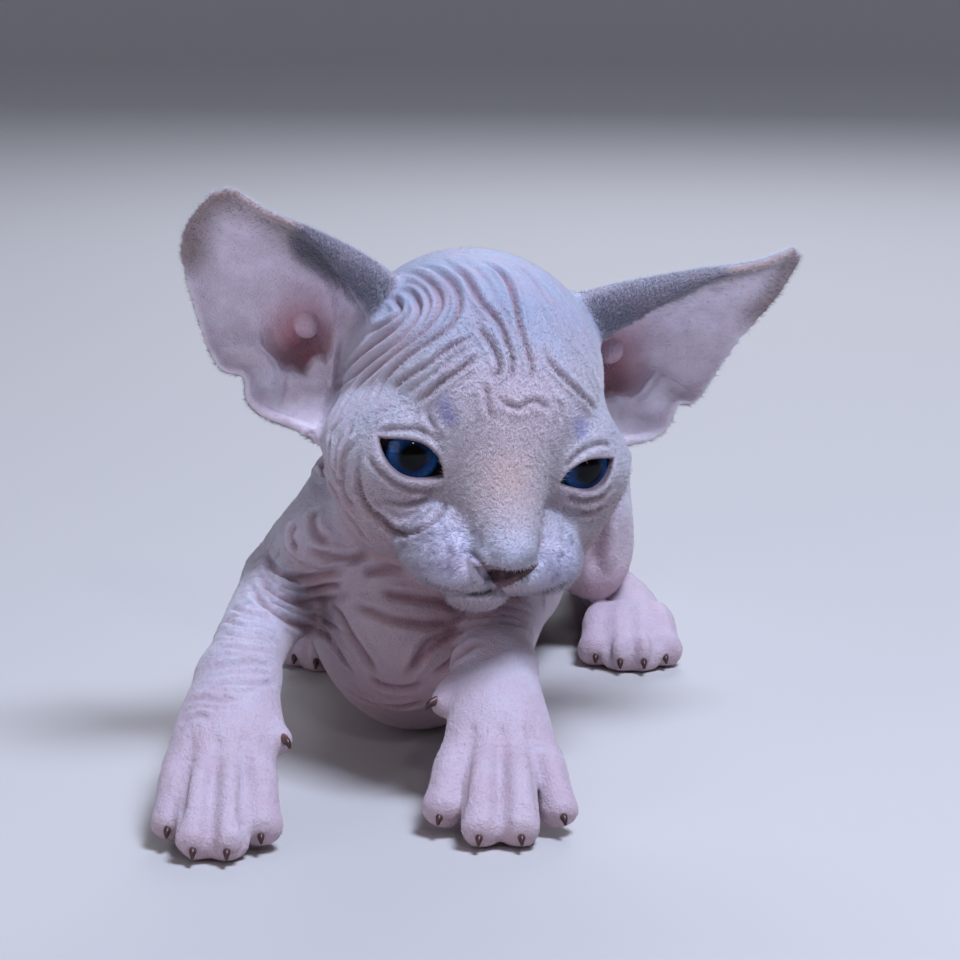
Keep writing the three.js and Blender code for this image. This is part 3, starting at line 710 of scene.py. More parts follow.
EAR_RIDGES = [
    ([(259, 342), (266, 355), (274, 362), (281, 364)], 1.2, 4.0),
    ([(226, 346), (219, 357), (220, 371), (228, 384), (240, 393)], 1.3, 5.0),
    ([(192, 300), (215, 322), (240, 335), (258, 344)], 0.6, 11.0),
    ([(250, 352), (262, 366), (280, 376), (296, 384)], 0.8, 7.0),
    ([(232, 402), (256, 412), (276, 422), (296, 428)], 0.7, 7.0),
    ([(206, 336), (214, 342), (226, 345)], -1.0, 3.0),
    ([(284, 378), (286, 391), (283, 402), (279, 413)], -0.9, 3.5),
    ([(238, 362), (246, 376), (258, 388)], -0.9, 5.0),
    ([(272, 330), (276, 345), (286, 354), (299, 352)], -0.4, 4.0),
    ([(296, 345), (308, 350), (322, 345)], -0.5, 5.0),
    ([(322, 275), (331, 300), (334, 325)], 0.7, 5.0),
]


def flat_distance(places, line):
    """Distance in a plane from places to a line of points."""
    line = np.array(line, float)
    best = np.full(len(places), 1e9)
    for a, b in zip(line, line[1:]):
        along = np.clip((places - a) @ (b - a) / ((b - a) @ (b - a)), 0, 1)
        best = np.minimum(best, np.linalg.norm(places - a - along[:, None] * (b - a), axis=1))
    return best


def inside_outline(places, outline):
    inside = np.zeros(len(places), bool)
    for (xa, ya), (xb, yb) in zip(outline, outline[1:] + outline[:1]):
        crosses = (ya > places[:, 1]) != (yb > places[:, 1])
        height = (places[:, 1] - ya) / (yb - ya if yb != ya else 1e-9)
        inside ^= crosses & (places[:, 0] < xa + height * (xb - xa))
    return inside


def rim_distance(local, on_left):
    """Distance of each point of the ears from the free edge of its own ear."""
    margin = np.full(len(local), 1e9)
    for name, own in (("left", on_left), ("right", ~on_left)):
        share = np.linspace(0, 1, 70)
        for across in (-1.0, 1.0):
            for point in ear_points(name, share, np.full(len(share), across)):
                margin[own] = np.minimum(margin[own], np.linalg.norm(local[own] - point, axis=1))
    return margin


def ear_relief(points, normals):
    """Ridges, lobe and canal on the inner face of both ears. Marks for colouring say how far each point is on
    the inner face, in the red of the canal with its painted shade, towards the tan tip, on the furred back,
    and in the canal."""
    move = np.zeros(len(points))
    marks = np.zeros((len(points), 5))
    local = in_head(points)
    away = head_field(local)
    near = ((ears_distance(points) < 1.6) & (away > -0.4)).nonzero()[0]
    local, away = local[near], away[near]
    side = np.sign(local[:, 0])
    mirror = np.stack([side, np.ones(len(near)), np.ones(len(near))], 1)
    turned = (normals[near] @ HEAD_TURNED) * mirror
    local = local * mirror
    on_left = side < 0
    margin = rim_distance(local, on_left)
    lift = turn("Y", -EAR_LIFT["right"])
    local[on_left] = (local[on_left] - EAR_ROOT) @ lift.T + EAR_ROOT
    turned[on_left] = turned[on_left] @ lift.T
    world = from_head(local)
    seen = seen_at(world)
    places = seen.copy()
    places[on_left, 0] -= LEFT_CANAL_SHIFT
    facing = -np.sum((turned @ HEAD_TURNED.T) * unit(world - VIEWER), axis=1)
    front = swell(facing, 0.0, 0.3) * swell(away, 0.2, 1.6)

    inside = inside_outline(places, CANAL_RIM + CANAL_TOP)
    gap = flat_distance(places, CANAL_RIM)
    low = swell(places[:, 1], *LOBE_TOP)
    lobe = LOBE_HEIGHT * swell(np.where(inside, -gap, gap), -1.5, 3) * (1 - swell(gap, 14, 62)) * low
    middle = np.exp(-np.sum(((places - CANAL_MIDDLE) / CANAL_REACH) ** 2, axis=1))
    raised = lobe - 0.5 * inside * middle * swell(gap, 2, 12)
    for line, height, width in EAR_RIDGES:
        raised += RIDGE_SHARE * height * np.exp(-(flat_distance(places, line) / width) ** 2)
    knob = np.linalg.norm(places - KNOB, axis=1) / KNOB_RADIUS
    raised += KNOB_HEIGHT * np.sqrt(np.clip(1 - knob ** 2, 0, 1))
    move[near] = np.clip(raised, -1.0, 4.0) * front * swell(facing, 0.2, 0.6) * swell(margin, 0.7, 4.5)

    edge = flat_distance(places, CANAL_RIM + CANAL_TOP + CANAL_RIM[:1])
    cup = swell(np.where(inside, edge, -edge), -1, 6) * middle
    # Dark red of the canal near its lower rim: the canal's own red, and painted shade in its hollow
    dark = np.exp(-(flat_distance(places, CANAL_RIM[4:]) / 24.0) ** 2) * cup * swell(knob, 0.85, 1.1)
    turned_away = swell(-facing, -0.25, 0.15)
    crown = 1 - swell(flat_distance(seen, CROWN_FUR), 14, 32)
    crown *= 1 - 0.5 * turned_away
    reach = np.linalg.norm(local - EAR_ROOT, axis=1)
    rear = 0.6 * turned_away * (1 - 0.6 * swell(reach, 20, 56))
    tan = 1 - swell(flat_distance(seen, CROWN_TAN), 4, 42)
    marks[near] = np.stack([front, dark * front, np.maximum(tan, 0.5 * swell(reach, 40, 60)),
                            np.maximum(rear, crown) * swell(away, -0.2, 1.2),
                            cup * front * (0.55 + 0.45 * swell(knob, 0.8, 1.1))], 1)
    return move, marks


# Mesh objects
def make_object(name, points, faces):
    """Mesh in metres in the shared frame, from arrays of faces with three or four corners each."""
    mesh = bpy.data.meshes.new(name)
    faces = [np.asarray(f, int) for f in faces if len(f)]
    corners = np.concatenate([f.ravel() for f in faces])
    sizes = np.concatenate([np.full(len(f), f.shape[1]) for f in faces])
    mesh.vertices.add(len(points))
    mesh.vertices.foreach_set("co", ((points - REST_POINT) * MM).astype(np.float32).ravel())
    mesh.loops.add(len(corners))
    mesh.loops.foreach_set("vertex_index", corners.astype(np.int32))
    mesh.polygons.add(len(sizes))
    mesh.polygons.foreach_set("loop_start", np.concatenate([[0], np.cumsum(sizes)[:-1]]).astype(np.int32))
    mesh.polygons.foreach_set("loop_total", sizes.astype(np.int32))
    mesh.update(calc_edges=True)
    mesh.validate()
    mesh.polygons.foreach_set("use_smooth", np.full(len(mesh.polygons), True))
    made = bpy.data.objects.new(name, mesh)
    bpy.context.collection.objects.link(made)
    return made


def add_colour(made, name, colours):
    layer = made.data.attributes.new(name, "FLOAT_COLOR", "POINT")
    covered = np.column_stack([colours, np.ones(len(colours))])
    layer.data.foreach_set("color", covered.astype(np.float32).ravel())


def add_number(made, name, values):
    layer = made.data.attributes.new(name, "FLOAT", "POINT")
    layer.data.foreach_set("value", np.asarray(values, np.float32))


def linear(code):
    """Linear colour from an sRGB hex value."""
    parts = np.array([int(code[i:i + 2], 16) for i in (1, 3, 5)]) / 255
    return np.where(parts <= 0.04045, parts / 12.92, ((parts + 0.055) / 1.055) ** 2.4)


def shade(code):
    """Linear colour with full cover, as the nodes take it."""
    return (*linear(code), 1)


def add_node(tree, kind, inputs=None, **settings):
    """Adds a node, with its settings, and its sockets set to values or linked to other nodes."""
    made = tree.nodes.new("ShaderNode" + kind)
    for name, value in settings.items():
        setattr(made, name, value)
    for socket, value in (inputs or {}).items():
        if isinstance(value, bpy.types.NodeSocket):
            tree.links.new(value, made.inputs[socket])
        else:
            made.inputs[socket].default_value = value
    return made


# Loose folds, each a groove with soft rolls beside it. Places are pixels of the photographed view. In each
# family the folds lie side by side, so shallower ones are drawn between them.
CROWN_FOLDS = [
    [(363, 335), (377, 328), (392, 320), (400, 310), (397, 302), (387, 295)],
    [(338, 377), (352, 362), (366, 350), (382, 338), (398, 325), (407, 310)],
    [(392, 293), (407, 291), (416, 299), (419, 310), (413, 324), (402, 338), (387, 350), (370, 362),
     (350, 379), (333, 395), (322, 414)],
    [(395, 275), (412, 273), (427, 280), (437, 290), (441, 302), (437, 314), (427, 328), (410, 343),
     (393, 355), (377, 368), (360, 384), (345, 402), (334, 424)],
    [(415, 266), (430, 268), (445, 277), (455, 288), (459, 302), (456, 316), (447, 329), (430, 341),
     (415, 351), (400, 363), (386, 378), (376, 394), (368, 409)],
]
BROW_FOLDS = [
    [(476, 334), (462, 341), (444, 351), (430, 363), (414, 373), (398, 384), (385, 398)],
    [(481, 354), (470, 362), (457, 372), (441, 383), (427, 395), (412, 406)],
    [(475, 316), (480, 328), (487, 338), (493, 348), (498, 359), (499, 369), (495, 376), (486, 377)],
    [(542, 341), (547, 356), (553, 367), (563, 377), (573, 387), (583, 397), (593, 407), (604, 419)],
]
TOP_FOLDS = [
    [(437, 256), (453, 267), (466, 277), (474, 290), (483, 304), (494, 316), (502, 328), (507, 342),
     (511, 355), (512, 368), (510, 380), (506, 388)],
    [(476, 259), (492, 266), (504, 276), (512, 291), (516, 307), (519, 323), (524, 340), (528, 354),
     (531, 366), (530, 378), (524, 386)],
]
FROWN_FOLDS = [
    [(496, 397), (505, 403), (514, 407), (522, 407), (530, 402), (538, 402), (545, 407), (554, 408)],
    [(482, 381), (486, 394), (488, 407), (493, 421)],
    [(427, 408), (431, 422), (439, 434), (448, 444)],
    [(556, 398), (560, 410), (560, 422)],
]
TEMPLE_FOLDS = [
    [(530, 287), (544, 308), (556, 330), (571, 347), (586, 367), (598, 390), (608, 411)],
    [(548, 277), (564, 300), (580, 325), (594, 350), (603, 374)],
    [(512, 262), (530, 276), (545, 296), (560, 320)],
]
EYE_BAG_FOLDS = [
    [(361, 441), (358, 469), (361, 492), (371, 510), (383, 519), (396, 531), (408, 533), (422, 529),
     (435, 519), (445, 506), (449, 500)],
    [(313, 423), (311, 439), (314, 453), (323, 469), (334, 487), (346, 508), (364, 535), (378, 553)],
]
FACE_FOLDS = [
    [(355, 407), (332, 430), (330, 446), (332, 467), (344, 487), (352, 506), (364, 519)],
    [(360, 437), (347, 453), (344, 476), (346, 496), (360, 506)],
    [(384, 500), (404, 504), (422, 500), (436, 492)],
    [(366, 522), (385, 524), (403, 535), (409, 540), (402, 549), (397, 562)],
    [(371, 434), (392, 429), (420, 430), (436, 440), (445, 455)],
    [(367, 450), (373, 463), (392, 481), (410, 489), (429, 491), (446, 487)],
    [(562, 470), (580, 452), (600, 444), (613, 447)],
    [(353, 424), (347, 440), (341, 462), (345, 486)],
    [(340, 436), (336, 455), (338, 474), (346, 492)],
    [(562, 494), (580, 500), (600, 497), (617, 480)],
    [(575, 512), (592, 512), (606, 503)],
    [(466, 549), (474, 554), (480, 560), (486, 566)],
    [(563, 522), (572, 532), (578, 541)],
]
LIP_FOLDS = [
    [(499, 588), (489, 592), (475, 593), (459, 591), (443, 588), (427, 584), (417, 578)],
    [(499, 588), (503, 593), (512, 595), (524, 594), (540, 593), (557, 587), (569, 580)],
]
CHEST_FOLDS = [
    [(303, 547), (320, 554), (340, 558), (358, 557), (372, 548)],
    [(268, 545), (268, 560), (276, 572), (292, 578), (312, 577), (335, 572), (355, 566)],
    [(260, 565), (266, 585), (280, 598), (300, 603), (318, 599), (335, 597), (352, 592)],
    [(250, 577), (257, 595), (270, 610), (290, 622), (310, 628), (326, 635), (337, 650), (348, 666),
     (358, 682)],
    [(345, 605), (360, 608), (375, 613), (390, 619), (410, 622), (430, 624), (455, 622), (475, 614)],
    [(322, 601), (335, 608), (343, 620), (351, 635), (361, 650), (371, 665), (380, 684)],
    [(316, 621), (328, 632), (337, 645), (346, 660), (353, 675)],
    [(490, 620), (470, 628), (450, 637), (430, 650), (415, 665), (403, 682)],
    [(470, 625), (448, 632), (430, 640), (418, 655), (411, 676)],
    [(484, 638), (464, 651), (447, 664), (430, 678)],
    [(360, 575), (375, 570), (392, 568), (407, 572)],
    [(375, 588), (390, 594), (410, 597), (430, 600), (450, 603), (470, 609)],
    [(300, 590), (315, 588), (330, 585), (345, 588)],
    [(345, 690), (372, 702), (402, 706), (430, 700)],
    [(365, 676), (385, 686), (408, 688), (425, 682)],
    [(318, 505), (312, 520), (318, 536), (334, 543)],
    [(296, 522), (290, 537), (298, 552)],
]
ARM_FOLDS = [
    [(226, 606), (243, 612), (266, 616)],
    [(222, 620), (240, 625), (263, 628)],
    [(214, 633), (238, 636), (262, 639), (275, 646)],
    [(210, 650), (227, 646), (244, 648), (264, 650), (280, 657)],
    [(204, 670), (231, 664), (255, 662), (276, 668)],
    [(200, 690), (220, 683), (238, 682), (262, 684), (280, 681)],
    [(184, 704), (200, 698), (222, 700), (246, 696)],
    [(180, 724), (196, 716), (212, 718)],
]


def between(first, second, share):
    """Pixels of a fold that lies between two others."""
    spread = np.linspace(0, 1, 9)
    return spline(first, spread) * (1 - share) + spline(second, spread) * share


DEEP_FOLD = 0.8


class Folds:
    """Fold lines on the skin, and how far each point of the skin moves for them."""

    def __init__(self, points, faces):
        self.tree = BVHTree.FromPolygons([tuple(p) for p in points], faces)
        self.lines = []

    def seen(self, pixels, depth, width, lift):
        """A fold that the photographed view shows, drawn from its pixels onto the skin."""
        share = np.linspace(0, 1, 12 * len(pixels))
        line = []
        for pixel in spline(pixels, share):
            hit = self.tree.ray_cast(Vector(VIEWER), Vector(sight_line(pixel)))[0]
            if hit is not None:
                line.append(tuple(hit))
        if len(line) > 3:
            self.lines.append((np.array(line), depth, width, lift))

    def traced(self, start, heading, length, depth, width, lift, curl, random):
        """A fold that runs over the skin from a start in a direction, turning gently."""
        place, normal = self.tree.find_nearest(Vector(start))[:2]
        ahead = Vector(heading)
        bend = random.normal(0, curl)
        line = []
        for _ in range(int(length)):
            ahead = (ahead - normal * ahead.dot(normal)).normalized()
            bend = 0.8 * bend + random.normal(0, curl) * 0.45
            ahead = Matrix.Rotation(bend, 3, normal) @ ahead
            line.append(tuple(place))
            place, normal = self.tree.find_nearest(place + ahead)[:2]
        self.lines.append((np.array(line), depth, width, lift))

    def shift(self, points):
        """Movement of each point along its normal, and how deep in a fold it lies, from 0 to 1."""
        move = np.zeros(len(points))
        cavity = np.zeros(len(points))
        for line, depth, width, lift in self.lines:
            reach = 4.2 * width
            boxed = (points > line.min(0) - reach) & (points < line.max(0) + reach)
            near = np.all(boxed, axis=1).nonzero()[0]
            if not len(near):
                continue
            dense = spline(line, np.linspace(0, 1, len(line) * 2)) if len(line) > 3 else line
            share = np.linspace(0, 1, len(dense))
            best = np.full(len(near), 1e9)
            where = np.zeros(len(near))
            for start in range(0, len(dense), 24):
                part = dense[start:start + 24]
                gap = np.linalg.norm(points[near][:, None] - part[None], axis=2)
                i = gap.argmin(1)
                closer = gap[np.arange(len(near)), i] < best
                best = np.where(closer, gap[np.arange(len(near)), i], best)
                where = np.where(closer, share[start + i], where)
            taper = swell(where, 0, 0.22) * swell(1 - where, 0, 0.22)
            groove = np.exp(-(best / width) ** 2) * taper
            roll = np.exp(-((best - 2.1 * width) / width) ** 2) * taper
            move[near] += lift * roll - depth * groove
            cavity[near] = np.maximum(cavity[near], groove * min(1, depth / DEEP_FOLD))
        return move, cavity


# Each family's depth, width and lift of the rolls beside it, in millimetres, and the depth of the shallow
# folds between its neighbours
FOLD_SIZES = (
    (CROWN_FOLDS, 0.62, 0.52, 0.34), (TOP_FOLDS, 0.75, 0.52, 0.4), (BROW_FOLDS, 0.66, 0.5, 0.36),
    (FROWN_FOLDS, 0.36, 0.5, 0.24), (TEMPLE_FOLDS, 0.24, 0.45, 0.16), (EYE_BAG_FOLDS, 1.05, 0.62, 0.5),
    (FACE_FOLDS, 0.46, 0.5, 0.26), (LIP_FOLDS, 1.0, 0.42, 0.12), (CHEST_FOLDS, 0.66, 0.7, 0.4),
    (ARM_FOLDS, 0.24, 0.55, 0.18))
SHALLOW_DEPTHS = (
    (CROWN_FOLDS[2:], 0.26), (TOP_FOLDS, 0.24), (BROW_FOLDS[:2], 0.2), (TEMPLE_FOLDS, 0.14),
    (ARM_FOLDS, 0.1), (CHEST_FOLDS[:4], 0.3))
SHALLOW_WIDTH = 0.38


def face_and_chest_folds(folds):
    """The folds that the photographed view shows, the deep ones by name and the shallow ones between them."""
    for family, depth, width, lift in FOLD_SIZES:
        for line in family:
            folds.seen(line, depth, width, lift)
    for family, depth in SHALLOW_DEPTHS:
        for first, second in zip(family, family[1:]):
            folds.seen(between(first, second, 0.5), depth, SHALLOW_WIDTH, depth * 0.5)


# Creases over a toe: share of the way to its tip, and a height above it
TOE_CREASES = ((0.3, 13), (0.42, 12.4), (0.56, 11.2))


def toe_folds(folds, random):
    """Small creases across the joints of every toe."""
    toes = [(toe_knuckle(arm, i), tip) for arm in FORELIMBS.values() for i, tip in enumerate(arm["toes"])]
    toes += [pair for side in (-1, 1) for pair in zip(hind_knuckles(side), hind_toes(side))]
    for knuckle, tip in toes:
        for share, height in TOE_CREASES:
            place = np.array([*(np.array(knuckle[:2]) * (1 - share) + np.array(tip[:2]) * share), height])
            for way in (-1, 1):
                folds.traced(place, (way, 0.1, -0.1), 4, random.uniform(0.05, 0.12), 0.3, 0.05, 0.05, random)


def body_folds(folds):
    """Folds that the photograph hides, as the breed has them: over the back and flanks, before the thighs,
    and round the legs and tail."""
    random = np.random.default_rng(7)
    toe_folds(folds, random)

    def row(count, start, step, heading, turning, lengths, *sizes):
        """Folds side by side, each one step on from the last. Sizes are depth, width, lift and curl."""
        for i in range(count):
            place = np.array(start, float) + i * np.array(step, float)
            ahead = np.array(heading, float) + i * np.array(turning, float)
            folds.traced(place, ahead, random.uniform(*lengths), *sizes, random)

    level = (0, 0, 0)
    for way in (-1, 1):
        row(7, (6, 12, 56), (0.5, 6.5, 0), (way, -0.2, 0), (0, 0.12, 0), (24, 40), 0.5, 1.25, 0.42, 0.02)
        row(9, (RUMP_X * 0.5 + way * 15, 20, 46), (0, 7.5, 0), (way * 0.5, 0.55, -1), level, (26, 42),
            0.5, 1.3, 0.4, 0.025)
        row(4, (RUMP_X + way * 21, 60, 14), (0, 3.4, 0), (0, 0.55, 1), (0, -0.1, 0), (24, 34),
            0.55, 1.2, 0.4, 0.03)
        row(5, (RUMP_X + way * 3, 92, 52), (0, 5, -3), (way, -0.25, -0.3), level, (14, 24),
            0.35, 1.2, 0.3, 0.03)
        row(6, (hind_place(way, 30), 80, 5), (0, 5, 0), (-way * 0.6, 0, 1), level, (10, 16),
            0.28, 0.9, 0.22, 0.03)
    for i in range(16):
        place = spline(TAIL, 0.02 + i * 0.028)[0]
        for way in (-1, 1):
            row(1, place + (0, 0, 8), level, (way, 0, 0), level, (6, 9), 0.16, 0.6, 0.1, 0.02)
    for arm in FORELIMBS.values():
        for i in range(9):
            place = spline([s[:3] for s in arm["lower"]], 0.1 + i * 0.1)[0]
            for way in (-1, 1):
                row(1, place + (0, 0, 7), level, (way, 0.15, 0), level, (5, 11), 0.25, 0.55, 0.18, 0.04)


def make_skin():
    points, quads = largest_piece(*skin_quads())
    edges = edges_of(quads, np.empty((0, 3), int))
    points = smoothed(points, edges, 2)
    shell = ears_distance(points) < 0.8
    points[shell] = smoothed(points, edges, 10)[shell]
    chosen = points[quads].mean(1)[:, 1] < FRONT_REACH
    points, quads, fans = refine(points, quads, chosen)
    edges = edges_of(quads, fans)
    points = smoothed(points, edges, 2)
    local = in_head(points)
    on_head = (np.linalg.norm(local, axis=1) < HEAD_REACH - 2) & (head_field(local) < 2.5)
    on_head &= ears_distance(points) > 1.2
    for _ in range(2):
        points[on_head] = drawn_to_skin(points[on_head])
    normals = normals_of(points, quads, fans)
    faces = [tuple(f) for f in quads.tolist()] + [tuple(f) for f in fans.tolist()]
    folds = Folds(points, faces)
    face_and_chest_folds(folds)
    body_folds(folds)
    move, cavity = folds.shift(points)
    relief, ear_marks = ear_relief(points, normals)
    above_floor = swell(points[:, 2], 0.3, 2.0)
    points = points + normals * ((move + relief) * above_floor)[:, None]
    points[:, 2] = np.maximum(points[:, 2], 0)
    return points, quads, fans, normals, cavity, ear_marks


def ears_distance(points):
    inside = np.all((points > ears.low) & (points < ears.low + ears.step * (ears.shape - 1)), axis=1)
    distance = np.full(len(points), BAND * SKIN_STEP)
    distance[inside] = ears.at(points[inside])
    return distance


# Colours of the skin: pale pink, lilac with painted light on top, painted shade below, warmer with painted
# shade in the folds, blue over the brows
PALE_SKIN = linear("#cbc8d2")
LILAC_SKIN_AND_TOP_LIGHT = linear("#b8c1da")
WARM_SKIN = linear("#a97c7c")
FOLD_SKIN_AND_SHADE = linear("#86505a")
THROAT_SKIN_AND_SHADE = linear("#a56a64")
CROWN_GREY = linear("#8b9dbc")
PEACH_SKIN = linear("#b59386")
PAD_SKIN = linear("#dadcff")
ROSE_SKIN = linear("#cba3b0")
EAR_LINING_AND_LIGHT = linear("#f3eafa")
EAR_TAN = linear("#8c766c")
EAR_GREY = linear("#5a5d72")
EAR_CANAL_RED_AND_SHADE = linear("#6e2228")
DEEP_EAR = linear("#c27784")
NOSE_BLUE = linear("#bac6de")
NOSE_LEATHER = linear("#472019")
NOSTRIL_SHADE = linear("#120807")
LIP_DARK = linear("#45262b")
LID_DARK = linear("#33242a")
BROW_BLUE = linear("#868dc8")
FRECKLE = linear("#5f5f86")
DOWN_PALE = linear("#e0dde6")

# Bridge of the nose, cheeks and whisker pads: colour, how much of it, and the centre and radii in the head
FACE_PATCHES = ((PEACH_SKIN, 0.88, (0, 21, -13), (6.5, 9, 8)), (WARM_SKIN, 0.5, (15, 10, -21), (6, 6, 5)),
                (PAD_SKIN, 0.9, (8.5, 24, -23.5), (4.6, 6, 4)))
FRECKLES = 46

# Blue bare spots over the eyes: pixels of the photographed view, and their radius
BROW_SPOTS = [(445, 406, 9), (450, 418, 8), (579, 424, 7), (580, 434, 6)]

# The bare leather under the tip of the nose, in pixels of the photographed view
NOSE_LEATHER_EDGE = [(481, 563), (494, 567), (512, 571), (526, 569), (538, 564), (522, 578), (508, 585),
                     (499, 587), (492, 580)]


def mix(colours, other, share):
    share = np.clip(share, 0, 1)[:, None]
    return colours * (1 - share) + other * share


def near_place(points, centre, radius):
    return np.exp(-np.sum(((points - np.asarray(centre, float)) / radius) ** 2, axis=1))


def skin_colours(points, normals, cavity, ear_marks):
    local = in_head(points)
    half = folded(local)
    places = seen_at(points)
    colours = np.repeat(PALE_SKIN[None], len(points), axis=0)
    # Skin that faces up turns towards a cooler lilac: the skin's own lilac tone, and painted light from above
    up = swell(normals[:, 2], -0.3, 0.9)
    colours = mix(colours, LILAC_SKIN_AND_TOP_LIGHT, 0.55 * up)
    # Skin that faces down turns towards warm darker skin: painted shade underneath
    colours = mix(colours, WARM_SKIN, 0.6 * swell(-normals[:, 2], -0.1, 0.8))
    on_head = np.linalg.norm(local, axis=1) < HEAD_REACH - 6
    crown = swell(local[:, 2], 2, 14) * on_head
    colours = mix(colours, CROWN_GREY, 0.7 * crown)
    for colour, share, centre, radius in FACE_PATCHES:
        colours = mix(colours, colour, share * near_place(half, centre, radius))
    for x, y, radius in BROW_SPOTS:
        spot = np.sum((places - (x, y)) ** 2, axis=1) / radius ** 2
        colours = mix(colours, BROW_BLUE, 0.85 * np.exp(-spot) * (local[:, 1] > 8) * on_head)
    colours = mix(colours, ROSE_SKIN, 0.42 * (1 - swell(points[:, 2], 12, 34)))
    colours = mix(colours, ROSE_SKIN, 0.3 * near_place(half, (0, 20, 1), (12, 9, 8)))
    # Darker, redder skin on the throat: partly the skin's own tone, partly painted shade cast by the head
    # under the chin
    throat = near_place(points, (6, -8, 32), (17, 13, 13))
    colours = mix(colours, THROAT_SKIN_AND_SHADE, 0.6 * throat)
    random = np.random.default_rng(3)
    for _ in range(FRECKLES):
        spot = np.array([random.normal(9.4, 2.6), 24, random.normal(-23, 2.4)])
        fleck = np.sum((half[:, [0, 2]] - spot[[0, 2]]) ** 2, axis=1) / random.uniform(0.3, 0.5) ** 2
        colours = mix(colours, FRECKLE, 0.55 * np.exp(-fleck) * (half[:, 1] > 14) * on_head)
    # Folds darken towards a deep warm red by how deep they lie: the skin's warmer tone in the folds, and
    # painted shade in the grooves
    colours = mix(colours, FOLD_SKIN_AND_SHADE, 0.85 * cavity ** 1.2)
    front, canal, tip, back, deep = ear_marks.T
    # The inner face of the ears is pale, and made paler still as painted light, for light shining through the
    # thin ear
    colours = mix(colours, EAR_LINING_AND_LIGHT, 0.95 * front)
    colours = mix(colours, EAR_TAN, 0.85 * front * tip)
    colours = mix(colours, DEEP_EAR, 0.95 * deep)
    # Dark red in the canal: its own red skin, and painted shade in its hollow
    colours = mix(colours, EAR_CANAL_RED_AND_SHADE, np.minimum(1.5 * canal, 0.9))
    colours = mix(colours, EAR_GREY, 0.92 * back)
    nose = leaned(local)
    ball = near_place(nose, (0, 31, -20.6), (3.6, 4, 2.6))
    colours = mix(colours, NOSE_BLUE, 0.8 * ball)
    on_muzzle = (local[:, 1] > 24) & on_head
    leather = inside_outline(places, NOSE_LEATHER_EDGE) | (flat_distance(places, NOSE_LEATHER_EDGE) < 1.2)
    colours = mix(colours, NOSE_LEATHER, 0.96 * leather * on_muzzle * (normals @ VIEW_AHEAD < 0))
    # Near black inside the nostrils: painted shade in their hollows
    colours = mix(colours, NOSTRIL_SHADE, 0.95 * swell(-nostril(local), -0.5, 0.1) * on_muzzle)
    # A dark line along the lips: partly the lips' own dark edge, partly painted shade in the mouth crease
    for line in LIP_FOLDS:
        near_lip = np.exp(-(flat_distance(places, line) / 2.2) ** 2)
        colours = mix(colours, LIP_DARK, 0.85 * near_lip * on_muzzle * (normals @ -VIEW_AHEAD > 0))
    eye = np.linalg.norm(half - EYE_CENTRE, axis=1)
    lid = np.exp(-(np.clip(eye_opening(local), -1, 9) / 0.42) ** 2) * (eye < EYE_RADIUS + 2)
    colours = mix(colours, LID_DARK, 0.9 * lid)
    return colours


# Down: short fine hairs over the skin. Each is one thin closed spike that lies along the coat.
DOWN_TILE = 0.003
DOWN_PALENESS = 0.35
DOWN_LINES = [TRUNK, FORELIMBS["right"]["upper"] + FORELIMBS["right"]["lower"],
              FORELIMBS["left"]["upper"] + FORELIMBS["left"]["lower"], TAIL]


def down_roots(points, quads, fans, weight, count, random):
    """Random places on the skin, as many on an area as its weight asks, and the corner nearest to each."""
    faces = np.vstack([quads[:, :3], quads[:, [0, 2, 3]], fans])
    corners = points[faces]
    normal = np.cross(corners[:, 1] - corners[:, 0], corners[:, 2] - corners[:, 0])
    area = np.linalg.norm(normal, axis=1)
    chance = area * weight[faces].mean(1)
    pick = random.choice(len(faces), count, p=chance / chance.sum())
    share = random.dirichlet((1, 1, 1), count)
    places = np.einsum("ij,ijk->ik", share, corners[pick])
    return places, faces[pick, share.argmax(1)]


def unwrapped(places, on_ear):
    """Places on an unwrap of the skin: round the head and ears, or round and along the body and limbs."""
    local = in_head(places)
    if on_ear is None:
        lines = [np.array([s[:3] for s in line], float) for line in DOWN_LINES]
        tracks = [spline(line, np.linspace(0, 1, 24)) for line in lines]
        gaps = [np.linalg.norm(places[:, None] - track[None], axis=2).min(1) for track in tracks]
        tile = np.stack(gaps, 1).argmin(1)
        middle = np.array([line.mean(0) for line in lines])[tile]
        angle = np.arctan2(places[:, 0] - middle[:, 0], places[:, 2] - middle[:, 2]) / (2 * np.pi) + 0.5
        along = (places[:, 1] - BODY_LOW[1]) / (BODY_HIGH[1] - BODY_LOW[1])
        return np.stack([(tile + 0.02 + 0.96 * angle) / len(DOWN_LINES), 0.01 + 0.98 * along], 1)
    if on_ear:
        local = folded(local) - EAR_ROOT
        ahead = unit(np.array(EAR_INNER_EDGE[-1]) - EAR_ROOT)
        back = unit(np.array(EAR_BACK))
        aside = np.cross(ahead, back)
        angle = np.arctan2(local @ aside, local @ back - 6) / (2 * np.pi) + 0.5
        return np.stack([0.01 + 0.98 * angle, 0.01 + 0.98 * np.clip(local @ ahead / 62, 0, 1)], 1)
    around = np.arctan2(local[:, 0], local[:, 1]) / (2 * np.pi) + 0.5
    height = np.arcsin(np.clip(local[:, 2] / np.linalg.norm(local, axis=1), -1, 1)) / np.pi + 0.5
    return np.stack([0.01 + 0.98 * around, 0.01 + 0.98 * height], 1)


def coat_lie(places, on_ear):
    """Way the coat runs: away from the nose on the head, to the tips of the ears, and down the legs."""
    if on_ear:
        local = in_head(places)
        mirror = np.where(np.arange(3) == 0, np.sign(local[:, :1]), 1)
        return (unit(local * mirror - EAR_ROOT) * mirror) @ HEAD_TURNED.T
    if on_ear is None:
        reach = swell(-places[:, 1], -4, 26)[:, None] * (places[:, 2] < 42)[:, None]
        return unit((1 - reach) * np.array([0, 0.8, -0.6]) + reach * np.array([0, -0.8, -0.6]))
    return unit(in_head(places) - (0, 34, -20)) @ HEAD_TURNED.T


